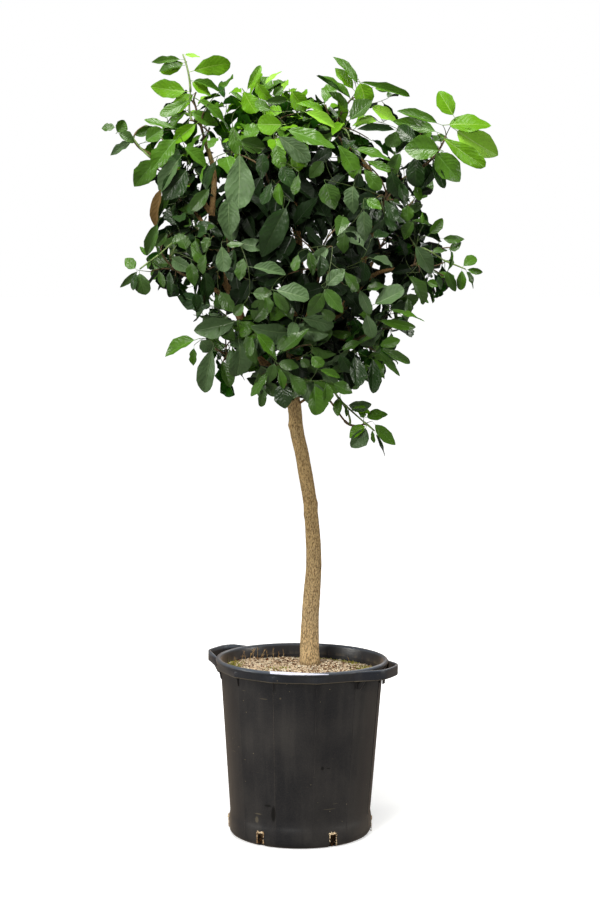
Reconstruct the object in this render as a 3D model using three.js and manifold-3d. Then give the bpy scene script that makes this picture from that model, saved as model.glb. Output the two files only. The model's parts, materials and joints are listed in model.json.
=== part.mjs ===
// A potted key lime tree: a black nursery pot with two handles, a filling of soil, a trunk with a gentle
// S-bend, the boughs that fork from it, and masses of foliage that grow from the boughs' tips.
// Millimetres, +Z up. The origin is the centre of the pot's flat underside, and -Y is the tree's front.
import * as THREE from "three";
import { mergeVertices } from "three/addons/utils/BufferGeometryUtils.js";
import Module from "manifold-3d";

// Driving dimensions of the pot
const POT_HEIGHT = 436;
const RIM_RADIUS = 212;
const BASE_RADIUS = 175.5;
const WALL_TOP_RADIUS = 201;
const WALL = 3;
const FLOOR = 4;
const SKIRT_HEIGHT = 27;
const BEAD_RADIUS = 6.5;
const PANELS = 12;
const LATHE_STEPS = 36;
const PANEL_TURN = THREE.MathUtils.degToRad(10);
const SLOTS = 6;
const SLOT_WIDTH = 16;
const SLOT_HEIGHT = 34;
const SLOT_FIRST = THREE.MathUtils.degToRad(-33);

// Driving dimensions of the handles and the blank label
const HANDLE_TURN = THREE.MathUtils.degToRad(-26.5);
const HANDLE_REACH = 236;
const HANDLE_HALF_LENGTH = 48;
const HANDLE_SPREAD = 0.85;
const HANDLE_BAND = 5;
const HANDLE_HEIGHT = 25;
const HANDLE_CORNER = 16;
const HANDLE_DROP = 2;
const LEFT_HANDLE_LIFT = 4;
const LABEL_LENGTH = 150;
const LABEL_TURN = THREE.MathUtils.degToRad(-1.5);
const LABEL_THICKNESS = 1;

// Driving dimensions of the soil and the trunk
const SOIL_TOP = 413;
const SOIL_EDGE_DROP = 8;
const SOIL_LEAN = 5;
const SOIL_FLAT_RADIUS = 78;
const TRUNK_FOOT_RADIUS = 23;
const TRUNK_TOP_RADIUS = 16.5;
const TRUNK_TAPER_SHARE = 0.55;
const TRUNK_SWELL = 2;
const ROOT_FLARE = 2.5;
const TRUNK_STEPS = 16;
const TRUNK_SIDES = 9;
const GAP = 0.3;

// The trunk's centre line leans right and then bends left, as [height above the soil, x, y]
const TRUNK_BENDS = [
  [0, 24, 25],
  [94, 24, 24],
  [190, 30, 22],
  [262, 34, 20],
  [331, 31, 18],
  [425, 21.5, 15],
  [519, 5.5, 12],
  [584, -8, 10],
  [645, -14.5, 8],
  [706, -29, 6],
];

// Driving dimensions of the boughs, twigs and leaves
const BOUGH_ENTRY = 0.62;
const BOUGH_STEP = 68;
const LEAF_WIDTH_SHARE = 0.58;
const LEAF_THICKNESS_SHARE = 0.025;
const LEAF_FOLD_SHARE = 0.05;
const LEAF_WIDEST_AT = 0.5;
const LEAF_SINK_SHARE = 0.35;
const STEM_GIRTH = 5;
const TWIG_GIRTH = 3.2;
const TWIG_TIP_GIRTH = 2.4;
const TWIG_ROOT_GIRTH = 1;
const SHORTEST_TWIG = 25;
const TWIG_STEPS = 2;
const PATH_WEIGHT = 0.35;
const LEAF_TURN = THREE.MathUtils.degToRad(137.5);
const LEAF_LIE = 0.3;
const LEAF_TRIES = [[0, 1], [0.8, 0.92], [-0.8, 0.85], [1.8, 0.78], [2.8, 0.72], [-1.8, 0.66]];
const GOAL_DEPTH = 0.62;
const CROWN_HEART = new THREE.Vector3(0, 0, 1420);

// Each mass of foliage: the limb that its bough leaves and how far along, the mass's centre and reach, its
// leaves' length, the number of its twigs and of leaves on each, and how much the leaves hang. A main bough
// also has its girth, and the points that it passes on its way.
const CROWN = [
  {
    name: "top_left", from: "trunk", at: 0.985,
    centre: [-255, 0, 1775], reach: [130, 130, 145],
    leaf: 100, twigs: 6, leaves: 3, hang: 0, girth: 12.5,
    via: [[-114, 2, 1187], [-150, 4, 1290], [-212, 6, 1440], [-208, 6, 1620]],
  },
  {
    name: "top_middle_right", from: "trunk", at: 1,
    centre: [120, 0, 1775], reach: [145, 140, 135],
    leaf: 104, twigs: 6, leaves: 3, hang: 0.05, girth: 12,
    via: [[5, 2, 1222], [110, -4, 1300], [160, -6, 1450], [172, 0, 1610]],
  },
  {
    name: "top_centre", from: "trunk", at: 0.97,
    centre: [-70, 0, 1745], reach: [130, 145, 120],
    leaf: 100, twigs: 6, leaves: 4, hang: 0.1, girth: 11.5,
    via: [[-20, 30, 1230], [0, 40, 1420], [-30, 25, 1600]],
  },
  {
    name: "front_centre", from: "trunk", at: 0.93,
    centre: [55, -230, 1430], reach: [165, 160, 155],
    leaf: 105, twigs: 6, leaves: 3, hang: 0.5, girth: 10,
    via: [[-8, -55, 1160]],
  },
  {
    name: "upper_left", from: "bough_top_left", at: 0.62,
    centre: [-320, 15, 1605], reach: [125, 145, 120],
    leaf: 98, twigs: 6, leaves: 3, hang: 0.5,
  },
  {
    name: "far_left", from: "bough_top_left", at: 0.72,
    centre: [-400, -40, 1695], reach: [85, 95, 70],
    leaf: 72, twigs: 4, leaves: 3, hang: 0.1,
  },
  {
    name: "left_middle", from: "bough_top_left", at: 0.33,
    centre: [-335, -15, 1415], reach: [120, 140, 120],
    leaf: 92, twigs: 6, leaves: 3, hang: 0.4,
  },
  {
    name: "front_left", from: "bough_top_left", at: 0.27,
    centre: [-170, -185, 1440], reach: [150, 160, 160],
    leaf: 105, twigs: 6, leaves: 3, hang: 0.5,
  },
  {
    name: "lower_left", from: "bough_top_left", at: 0.12,
    centre: [-230, -20, 1205], reach: [145, 145, 135],
    leaf: 105, twigs: 6, leaves: 3, hang: 0.5,
  },
  {
    name: "back_left", from: "bough_top_left", at: 0.22,
    centre: [-225, 210, 1440], reach: [180, 180, 170],
    leaf: 118, twigs: 6, leaves: 3, hang: 0.4,
  },
  {
    name: "upper_front", from: "bough_top_centre", at: 0.6,
    centre: [-85, -180, 1620], reach: [155, 160, 135],
    leaf: 124, twigs: 6, leaves: 3, hang: 0.7,
  },
  {
    name: "back_top", from: "bough_top_centre", at: 0.5,
    centre: [-20, 230, 1650], reach: [210, 175, 155],
    leaf: 118, twigs: 6, leaves: 3, hang: 0.3,
  },
  {
    name: "back_lower", from: "bough_top_centre", at: 0.1,
    centre: [10, 205, 1235], reach: [195, 165, 145],
    leaf: 118, twigs: 6, leaves: 3, hang: 0.5,
  },
  {
    name: "lower_centre", from: "bough_front_centre", at: 0.15,
    centre: [-25, -165, 1200], reach: [155, 150, 145],
    leaf: 105, twigs: 6, leaves: 3, hang: 0.45,
  },
  {
    name: "upper_right", from: "bough_top_middle_right", at: 0.5,
    centre: [215, -130, 1600], reach: [150, 155, 145],
    leaf: 108, twigs: 6, leaves: 3, hang: 0.3,
  },
  {
    name: "top_right", from: "bough_top_middle_right", at: 0.68,
    centre: [350, -10, 1690], reach: [130, 150, 140],
    leaf: 118, twigs: 6, leaves: 3, hang: 0.15,
  },
  {
    name: "right_middle", from: "bough_top_middle_right", at: 0.42,
    centre: [325, -15, 1425], reach: [135, 150, 155],
    leaf: 92, twigs: 6, leaves: 3, hang: 0.35,
  },
  {
    name: "back_right", from: "bough_top_middle_right", at: 0.3,
    centre: [230, 210, 1465], reach: [180, 180, 175],
    leaf: 118, twigs: 6, leaves: 3, hang: 0.4,
  },
  {
    name: "lower_right", from: "bough_top_middle_right", at: 0.14,
    centre: [180, -40, 1230], reach: [145, 145, 145],
    leaf: 100, twigs: 6, leaves: 3, hang: 0.6,
  },
  {
    name: "low_sprig", from: "trunk", at: 0.91,
    centre: [160, -60, 1010], reach: [95, 90, 80],
    leaf: 72, twigs: 4, leaves: 3, hang: 0.3,
    via: [[50, -25, 1088]],
  },
];

const plastic = new THREE.MeshStandardMaterial({ color: 0x2b2c2e, roughness: 0.6, metalness: 0 });
const blank = new THREE.MeshStandardMaterial({ color: 0xe9e9f4, roughness: 0.55, metalness: 0 });
const soilFinish = new THREE.MeshStandardMaterial({ color: 0xa78d73, roughness: 0.95, metalness: 0 });
const bark = new THREE.MeshStandardMaterial({ color: 0xa98f62, roughness: 0.9, metalness: 0 });
const leafFinish = new THREE.MeshStandardMaterial({ color: 0x2f5a2c, roughness: 0.45, metalness: 0 });

const wasm = await Module();
wasm.setup();
const UP = new THREE.Vector3(0, 0, 1);
const vector = ([x, y, z]) => new THREE.Vector3(x, y, z);

// A closed three.js geometry as a solid that can be cut and joined.
function solidOf(geometry) {
  const bare = geometry.clone();
  bare.deleteAttribute("normal");
  bare.deleteAttribute("uv");
  const merged = mergeVertices(bare, 1e-3);
  return new wasm.Manifold(
    new wasm.Mesh({
      numProp: 3,
      vertProperties: new Float32Array(merged.attributes.position.array),
      triVerts: new Uint32Array(merged.index.array),
    }),
  );
}

// A solid as a three.js geometry with flat faces.
function geometryOf(solid) {
  const mesh = solid.getMesh();
  const indexed = new THREE.BufferGeometry();
  indexed.setAttribute("position", new THREE.BufferAttribute(mesh.vertProperties, mesh.numProp));
  indexed.setIndex(new THREE.BufferAttribute(mesh.triVerts, 1));
  const flat = indexed.toNonIndexed();
  flat.computeVertexNormals();
  return flat;
}

// The largest body of a solid: loose scraps are dropped and sealed hollows are filled.
function largestBody(solid) {
  return solid.decompose().reduce((best, body) => (body.volume() > best.volume() ? body : best));
}

// Numbers from 0 to 1 that are the same each run.
function seeded(seed) {
  let state = seed >>> 0;
  return () => {
    state = (state + 0x6d2b79f5) >>> 0;
    let mixed = Math.imul(state ^ (state >>> 15), 1 | state);
    mixed = (mixed + Math.imul(mixed ^ (mixed >>> 7), 61 | mixed)) ^ mixed;
    return ((mixed ^ (mixed >>> 14)) >>> 0) / 4294967296;
  };
}

function seedOf(name) {
  return [...name].reduce((sum, letter) => (Math.imul(sum, 31) + letter.charCodeAt(0)) >>> 0, 7);
}

// The share of its corner radius that a regular polygon has at an angle from one of its corners.
function panelShare(angle) {
  const step = (2 * Math.PI) / PANELS;
  const within = THREE.MathUtils.euclideanModulo(angle - PANEL_TURN, step) - step / 2;
  return Math.cos(step / 2) / Math.cos(within);
}

// A profile of [radius, height, flatness] turned round the Z axis: flatness 1 gives flat panels.
function turned(profile) {
  const points = profile.map(([radius, height]) => new THREE.Vector2(radius, height));
  const geometry = new THREE.LatheGeometry(points, LATHE_STEPS, PANEL_TURN, 2 * Math.PI);
  geometry.rotateX(Math.PI / 2);
  const position = geometry.attributes.position;
  for (let i = 0; i < position.count; i++) {
    const flatness = profile[i % profile.length][2] ?? 0;
    const angle = Math.atan2(position.getX(i), -position.getY(i));
    const share = 1 - flatness * (1 - panelShare(angle));
    position.setXY(i, position.getX(i) * share, position.getY(i) * share);
  }
  return geometry;
}

// An outline on the ground plane, raised from one height to another.
function raised(outline, low, high) {
  const shape = new THREE.Shape(outline.map(([x, y]) => new THREE.Vector2(x, y)));
  const geometry = new THREE.ExtrudeGeometry(shape, { depth: high - low, bevelEnabled: false });
  return geometry.translate(0, 0, low);
}

// The pot's outer radius at a height above its rounded foot.
function wallRadius(height) {
  const foot = 50;
  const skirtFoot = POT_HEIGHT - SKIRT_HEIGHT;
  return THREE.MathUtils.mapLinear(height, foot, skirtFoot, BASE_RADIUS - 1.3, WALL_TOP_RADIUS);
}

// The pot: a tapered wall with faint flat panels, a rounded foot, and a rim with a bead and a skirt.
function potBody() {
  const beadHeight = POT_HEIGHT - BEAD_RADIUS;
  const beadCentre = RIM_RADIUS - BEAD_RADIUS;
  const bead = [0, 45, 90, 135, 180].map((degrees) => {
    const angle = THREE.MathUtils.degToRad(degrees);
    return [beadCentre + BEAD_RADIUS * Math.cos(angle), beadHeight + BEAD_RADIUS * Math.sin(angle)];
  });
  const skirtFoot = POT_HEIGHT - SKIRT_HEIGHT;
  const faint = 0.25;
  const outside = [
    [0, 0],
    [BASE_RADIUS - 16, 0],
    [BASE_RADIUS - 5, 4],
    [BASE_RADIUS, 16],
    [BASE_RADIUS + 0.5, 34],
    [wallRadius(54), 54, faint],
    [WALL_TOP_RADIUS, skirtFoot, faint],
    [WALL_TOP_RADIUS + 1, beadHeight - 9],
    [RIM_RADIUS - 5, beadHeight - 9],
    [RIM_RADIUS - 3.5, skirtFoot, 1],
    [RIM_RADIUS - 0.5, skirtFoot, 1],
  ];
  const inside = [
    [WALL_TOP_RADIUS - WALL, skirtFoot, faint],
    [wallRadius(54) - WALL, 54, faint],
    [BASE_RADIUS - WALL - 5, FLOOR],
    [0, FLOOR],
  ];
  let pot = solidOf(turned([...outside, ...bead, ...inside]));
  for (let i = 0; i < SLOTS; i++) {
    const slot = new THREE.BoxGeometry(SLOT_WIDTH, 30, 2 * SLOT_HEIGHT);
    slot.translate(0, -BASE_RADIUS, 0);
    slot.rotateZ(SLOT_FIRST + (i * 2 * Math.PI) / SLOTS);
    pot = pot.subtract(solidOf(slot));
  }
  return geometryOf(pot);
}

// A carrying handle: a flat band whose two legs spread towards the rim, with a gusset under each end.
function handle(lift) {
  const inner = RIM_RADIUS - 34;
  const slope = Math.hypot(1, HANDLE_SPREAD);
  const band = (inset) => {
    const out = HANDLE_REACH - inset;
    const half = HANDLE_HALF_LENGTH - inset * (slope - HANDLE_SPREAD);
    const corner = HANDLE_CORNER - inset;
    const bendStart = half - corner * (slope - HANDLE_SPREAD);
    const bend = [0, 1, 2, 3].map((step) => {
      const angle = (Math.atan2(1, HANDLE_SPREAD) * step) / 3;
      return [out - corner + corner * Math.cos(angle), bendStart + corner * Math.sin(angle)];
    });
    const root = [inner, half + (out - inner) * HANDLE_SPREAD];
    const side = [...bend, root];
    const mirrored = [...side].reverse().map(([x, y]) => [x, -y]);
    return [...mirrored, ...side];
  };
  const top = POT_HEIGHT - HANDLE_DROP + lift;
  const low = top - HANDLE_HEIGHT;
  const whole = solidOf(raised(band(0), low, top));
  const gap = solidOf(raised(band(HANDLE_BAND), low - 1, top + 1));
  let loop = whole.subtract(gap);
  for (const side of [-1, 1]) {
    const gusset = new THREE.Shape([
      new THREE.Vector2(inner, low + 3),
      new THREE.Vector2(RIM_RADIUS - 4, low + 3),
      new THREE.Vector2(RIM_RADIUS - 13.5, low - 16),
      new THREE.Vector2(inner, low - 16),
    ]);
    const plate = new THREE.ExtrudeGeometry(gusset, { depth: 3, bevelEnabled: false });
    plate.rotateX(Math.PI / 2);
    plate.translate(0, side * (HANDLE_HALF_LENGTH + 27) + 1.5, 0);
    loop = loop.add(solidOf(plate));
  }
  const column = (radius, from, to) => {
    const cylinder = new THREE.CylinderGeometry(radius, radius, to - from, 144);
    cylinder.rotateX(Math.PI / 2);
    return solidOf(cylinder.translate(0, 0, (from + to) / 2));
  };
  const skirtFoot = POT_HEIGHT - SKIRT_HEIGHT;
  const core = column(RIM_RADIUS + GAP, skirtFoot - GAP, top + 5);
  const wall = column(WALL_TOP_RADIUS + GAP, low - 30, skirtFoot);
  return largestBody(loop.subtract(core).subtract(wall));
}

// The blank label: a thin strip that lies along the bead of the rim, at the front.
function label() {
  const turn = LABEL_LENGTH / (RIM_RADIUS - BEAD_RADIUS);
  const shell = (radius, from, to) =>
    Array.from({ length: 4 }, (_, i) => {
      const angle = THREE.MathUtils.degToRad(from + ((to - from) * i) / 3);
      return [radius * Math.cos(angle), radius * Math.sin(angle)];
    });
  const near = BEAD_RADIUS + 2 * GAP;
  const outline = [...shell(near + LABEL_THICKNESS, 18, 118), ...shell(near, 118, 18)];
  const steps = 8;
  const rings = [];
  for (let i = 0; i <= steps; i++) {
    const angle = LABEL_TURN + turn * (i / steps - 0.5);
    for (const [out, up] of outline) {
      const radius = RIM_RADIUS - BEAD_RADIUS + out;
      rings.push(radius * Math.sin(angle), -radius * Math.cos(angle), POT_HEIGHT - BEAD_RADIUS + up);
    }
  }
  return skinned(rings, steps + 1, outline.length);
}

// A closed skin over rings of corners, with a flat cap at each end.
function skinned(corners, rings, sides) {
  const faces = [];
  for (let ring = 0; ring + 1 < rings; ring++) {
    for (let side = 0; side < sides; side++) {
      const a = ring * sides + side;
      const b = ring * sides + ((side + 1) % sides);
      faces.push(a, b, b + sides, a, b + sides, a + sides);
    }
  }
  const cap = THREE.ShapeUtils.triangulateShape(flattened(corners.slice(0, sides * 3)), []);
  const last = (rings - 1) * sides;
  for (const [a, b, c] of cap) {
    faces.push(c, b, a, a + last, b + last, c + last);
  }
  const geometry = new THREE.BufferGeometry();
  geometry.setAttribute("position", new THREE.Float32BufferAttribute(corners, 3));
  geometry.setIndex(faces);
  const solid = solidOf(geometry);
  if (solid.volume() > 0) return geometry;
  geometry.setIndex(faces.reverse());
  return geometry;
}

// A ring of corners laid flat on its own plane, for its cap.
function flattened(ring) {
  const corners = [];
  for (let i = 0; i < ring.length; i += 3) corners.push(vector(ring.slice(i, i + 3)));
  const across = corners[1].clone().sub(corners[0]).normalize();
  const normal = new THREE.Vector3();
  corners.forEach((corner, i) => normal.add(corner.clone().cross(corners[(i + 1) % corners.length])));
  normal.normalize();
  const along = normal.clone().cross(across);
  return corners.map((corner) => new THREE.Vector2(corner.dot(across), corner.dot(along)));
}

// The soil's top: flat round the trunk, then falling to the wall, and a little higher on the left.
function soilHeight(x, y) {
  const radius = Math.hypot(x, y);
  const fall = THREE.MathUtils.smoothstep(radius, SOIL_FLAT_RADIUS, BASE_RADIUS + 16);
  const lean = (-x / RIM_RADIUS) * SOIL_LEAN * fall;
  return SOIL_TOP - SOIL_EDGE_DROP * fall + lean;
}

// The soil: it fills the pot, clear of its wall and floor, up to the soil's top.
function soil() {
  const side = (height) => wallRadius(height) - WALL - 1;
  const edge = SOIL_TOP - SOIL_EDGE_DROP;
  const faint = 0.25;
  const profile = [
    [0, FLOOR + GAP],
    [BASE_RADIUS - WALL - 7, FLOOR + GAP],
    [side(54), 54, faint],
    [side(edge), edge, faint],
    [150, edge],
    [SOIL_FLAT_RADIUS - 1, edge],
    [0, edge],
  ];
  const geometry = turned(profile);
  const position = geometry.attributes.position;
  for (let i = 0; i < position.count; i++) {
    if (i % profile.length < 3) continue;
    position.setZ(i, soilHeight(position.getX(i), position.getY(i)));
  }
  return geometry;
}

// A tapering limb round a centre line, with a radius at each of its points.
function limb(line, girths, sides, extra = 0) {
  const tangents = line.map((point, i) => {
    const before = line[Math.max(i - 1, 0)];
    const after = line[Math.min(i + 1, line.length - 1)];
    return after.clone().sub(before).normalize();
  });
  const across = squareTo(tangents[0], 0);
  const corners = [];
  line.forEach((point, i) => {
    across.addScaledVector(tangents[i], -across.dot(tangents[i])).normalize();
    const along = tangents[i].clone().cross(across);
    const end = i === 0 ? -extra : i === line.length - 1 ? extra : 0;
    for (let side = 0; side < sides; side++) {
      const angle = (side * 2 * Math.PI) / sides;
      const corner = point.clone().addScaledVector(tangents[i], end);
      corner.addScaledVector(across, (girths[i] + extra) * Math.cos(angle));
      corner.addScaledVector(along, (girths[i] + extra) * Math.sin(angle));
      corners.push(corner.x, corner.y, corner.z);
    }
  });
  return skinned(corners, line.length, sides);
}

// The trunk: a root flare at the soil, a taper up to its middle, and a nearly even girth above.
function trunkLimb() {
  const bends = TRUNK_BENDS.map(([height, x, y]) => new THREE.Vector3(x, y, SOIL_TOP + height));
  const sunk = bends[0].clone().setZ(SOIL_TOP - 20);
  const curve = new THREE.CatmullRomCurve3([sunk, ...bends], false, "centripetal");
  const line = curve.getSpacedPoints(TRUNK_STEPS);
  const height = bends[bends.length - 1].z - SOIL_TOP;
  const girths = line.map((point) => {
    const share = Math.max(point.z - SOIL_TOP, 0) / height;
    const taper = 1 - Math.min(share / TRUNK_TAPER_SHARE, 1);
    const swell = TRUNK_SWELL * Math.exp(-share * 12) + ROOT_FLARE * Math.exp(-share * 30);
    return TRUNK_TOP_RADIUS + (TRUNK_FOOT_RADIUS - TRUNK_TOP_RADIUS) * taper + swell;
  });
  return { name: "trunk", line, girths, sides: TRUNK_SIDES };
}

// The trunk's solid, cut flat just above the soil.
function trunkSolid(trunk) {
  const below = new THREE.BoxGeometry(300, 300, 100);
  below.translate(0, 0, SOIL_TOP + GAP - 50);
  return solidOf(limb(trunk.line, trunk.girths, trunk.sides)).subtract(solidOf(below));
}

// The point and heading of a limb at a share of its length.
function alongLimb(parent, share) {
  const curve = new THREE.CatmullRomCurve3(parent.line);
  return { point: curve.getPointAt(share), heading: curve.getTangentAt(share) };
}

// A mass's space: an ellipsoid, and the planes that part it from its neighbours' spaces. Each plane has a
// unit normal and the furthest reach along it.
function spaceOf(mass) {
  const centre = vector(mass.centre);
  const planes = CROWN.filter((other) => other !== mass).map((other) => {
    const normal = vector(other.centre).sub(centre);
    const distance = normal.length();
    normal.normalize();
    const own = ellipsoidAlong(mass.reach, normal);
    const theirs = ellipsoidAlong(other.reach, normal);
    return { normal, limit: centre.dot(normal) + (distance * own) / (own + theirs) };
  });
  return { centre, reach: mass.reach, planes };
}

// How far an ellipsoid goes from its centre along a heading.
function ellipsoidAlong([x, y, z], way) {
  return 1 / Math.hypot(way.x / x, way.y / y, way.z / z);
}

// Whether points lie in a space, with a margin to its neighbours.
function inSpace({ centre, reach, planes }, points, margin) {
  return points.every((point) => {
    const offset = point.clone().sub(centre);
    const distance = offset.length();
    if (distance > ellipsoidAlong(reach, offset.normalize())) return false;
    return planes.every(({ normal, limit }) => point.dot(normal) < limit - margin);
  });
}

// How far a space goes from its centre along a heading.
function spaceAlong({ centre, reach, planes }, way) {
  const toPlanes = planes
    .filter(({ normal }) => way.dot(normal) > 1e-6)
    .map(({ normal, limit }) => (limit - centre.dot(normal)) / way.dot(normal));
  return Math.min(ellipsoidAlong(reach, way), ...toPlanes);
}

// The bough of a mass: one tapering limb from its parent to where it enters the mass.
function boughLimb(mass, limbs) {
  const { point: start, heading } = alongLimb(limbs.get(mass.from), mass.at);
  const space = spaceOf(mass);
  const back = start.clone().sub(space.centre);
  const reach = back.length();
  back.normalize();
  const depth = Math.min(BOUGH_ENTRY * spaceAlong(space, back), 0.7 * reach);
  const tip = space.centre.clone().addScaledVector(back, depth);
  const middle = start.clone().lerp(tip, 0.45).addScaledVector(heading, 0.1 * reach);
  const bends = mass.via ? mass.via.map(vector) : [middle];
  const curve = new THREE.CatmullRomCurve3([start, ...bends, tip], false, "centripetal");
  const steps = Math.max(4, Math.round(curve.getLength() / BOUGH_STEP));
  const [base, end, sides] = mass.girth ? [mass.girth, 6, 7] : [6.6, 4.2, 5];
  const girths = Array.from({ length: steps + 1 }, (_, i) => THREE.MathUtils.lerp(base, end, i / steps));
  return { name: "bough_" + mass.name, line: curve.getSpacedPoints(steps), girths, sides };
}

// A convex body for the test of what it touches: its corners, and its faces' normals and edges.
function convex(corners, faces) {
  const edge = (from, to) => corners[to].clone().sub(corners[from]);
  const normals = faces.map(([a, b, c]) => edge(a, b).cross(edge(a, c)).normalize());
  const edges = faces.flatMap(([a, b, c]) => [edge(a, b), edge(b, c)]);
  const centre = new THREE.Vector3();
  corners.forEach((corner) => centre.addScaledVector(corner, 1 / corners.length));
  const radius = Math.max(...corners.map((corner) => corner.distanceTo(centre)));
  return { corners, normals, edges, centre, radius };
}

// Whether two convex bodies are further apart than a gap.
function apart(a, b, gap) {
  if (a.centre.distanceTo(b.centre) > a.radius + b.radius + gap) return true;
  const crossed = a.edges.flatMap((first) => b.edges.map((second) => first.clone().cross(second)));
  return [...a.normals, ...b.normals, ...crossed].some((axis) => {
    if (axis.lengthSq() < 1e-9) return false;
    axis.normalize();
    const ofA = a.corners.map((corner) => corner.dot(axis));
    const ofB = b.corners.map((corner) => corner.dot(axis));
    return Math.min(...ofA) - Math.max(...ofB) > gap || Math.min(...ofB) - Math.max(...ofA) > gap;
  });
}

// A unit vector square to a heading, turned about it by an angle.
function squareTo(heading, angle) {
  const across = Math.abs(heading.x) > 0.9 ? new THREE.Vector3(0, 1, 0) : new THREE.Vector3(1, 0, 0);
  across.addScaledVector(heading, -across.dot(heading)).normalize();
  return across.applyAxisAngle(heading, angle);
}

// The square sleeve round one stretch of a limb or twig.
function sleeve(from, to, radius) {
  const axis = to.clone().sub(from).normalize();
  const turns = [0, 1, 2, 3].map((quarter) => squareTo(axis, (quarter * Math.PI) / 2));
  const reach = radius * Math.SQRT2;
  const square = (end) => turns.map((turn) => end.clone().addScaledVector(turn, reach));
  return convex([...square(from), ...square(to)], [[0, 1, 2], [0, 4, 5], [1, 5, 6]]);
}

// The sleeves of a whole limb.
function sleevesOf({ line, girths }) {
  return line.slice(1).map((point, i) => sleeve(line[i], point, Math.max(girths[i], girths[i + 1])));
}

// A leaf: a thin blade folded along its rib, from a root sunk behind its place on the twig to its tip.
function leafBody(root, heading, facing, length, sink) {
  const across = heading.clone().cross(facing).normalize();
  const normal = across.clone().cross(heading).normalize();
  const at = (along, side, up) =>
    root.clone().addScaledVector(heading, along).addScaledVector(across, side).addScaledVector(normal, up);
  const half = (LEAF_WIDTH_SHARE * length) / 2;
  const widest = LEAF_WIDEST_AT * length;
  const thick = LEAF_THICKNESS_SHARE * length;
  const fold = LEAF_FOLD_SHARE * length;
  const [right, left] = [at(widest, half, fold), at(widest, -half, fold)];
  const corners = [at(-sink, 0, 0), right, at(length, 0, 0), left, at(widest, 0, thick)];
  const faces = [[0, 1, 4], [1, 2, 4], [2, 3, 4], [3, 0, 4], [0, 2, 1], [0, 3, 2]];
  const geometry = new THREE.BufferGeometry();
  const places = corners.flatMap((corner) => corner.toArray());
  geometry.setAttribute("position", new THREE.Float32BufferAttribute(places, 3));
  geometry.setIndex(faces.flat());
  return { solid: solidOf(geometry), hull: convex(corners, faces), outline: corners.slice(1) };
}

// The points that a mass's twigs reach for, on a golden spiral over its space and a little inside its skin.
function goalsOf(mass, space, random) {
  return Array.from({ length: mass.twigs }, (_, i) => {
    const height = 1 - (2 * (i + 0.5)) / mass.twigs;
    const ring = Math.sqrt(1 - height * height);
    const angle = i * LEAF_TURN + random() * 0.9;
    const way = new THREE.Vector3(ring * Math.cos(angle), ring * Math.sin(angle), height);
    const depth = GOAL_DEPTH * (0.85 + 0.3 * random());
    return space.centre.clone().addScaledVector(way, depth * spaceAlong(space, way));
  });
}

// A mass's twigs, each a curve and its girth. The stem goes on from the bough's tip to the mass's heart.
// Each other twig starts at the joint from which the way to its goal is short and turns little, and one
// that would touch a limb or leave the space is skipped.
function twigsOf(mass, space, bough, obstacles, random) {
  const [before, tip] = bough.line.slice(-2);
  const heading = tip.clone().sub(before).normalize();
  const heart = space.centre.clone().addScaledVector(UP, 0.12 * mass.reach[2]);
  const stemBend = tip.clone().addScaledVector(heading, 0.5 * tip.distanceTo(heart));
  const twigs = [];
  const joints = [];
  const grow = (curve, girth, path) => {
    twigs.push({ curve, girth });
    for (let step = 1; step <= TWIG_STEPS; step++) {
      const share = step / TWIG_STEPS;
      const [point, way] = [curve.getPoint(share), curve.getTangent(share)];
      joints.push({ point, way, path: path + share * curve.getLength() });
    }
  };
  grow(new THREE.QuadraticBezierCurve3(tip, stemBend, heart), STEM_GIRTH, 0);
  const goals = goalsOf(mass, space, random).sort((a, b) => a.distanceTo(tip) - b.distanceTo(tip));
  for (const goal of goals) {
    const cost = ({ point, way, path }) => {
      const span = goal.clone().sub(point);
      const straight = span.dot(way) / span.length();
      return span.length() * (1.4 - 0.5 * straight) + PATH_WEIGHT * path;
    };
    const joint = joints.reduce((best, other) => (cost(other) < cost(best) ? other : best));
    const span = goal.distanceTo(joint.point);
    const bend = joint.point.clone().addScaledVector(joint.way, 0.3 * span).lerp(goal, 0.25);
    bend.addScaledVector(UP, (0.12 - 0.2 * mass.hang) * span);
    const curve = new THREE.QuadraticBezierCurve3(joint.point, bend, goal);
    const line = curve.getPoints(TWIG_STEPS);
    const sleeves = sleevesOf({ line, girths: line.map(() => TWIG_GIRTH) });
    const free = sleeves.every((part) => obstacles.every((obstacle) => apart(part, obstacle, 2 * GAP)));
    if (span > SHORTEST_TWIG && free && inSpace(space, line, 5)) grow(curve, TWIG_GIRTH, joint.path);
  }
  return twigs;
}

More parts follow.
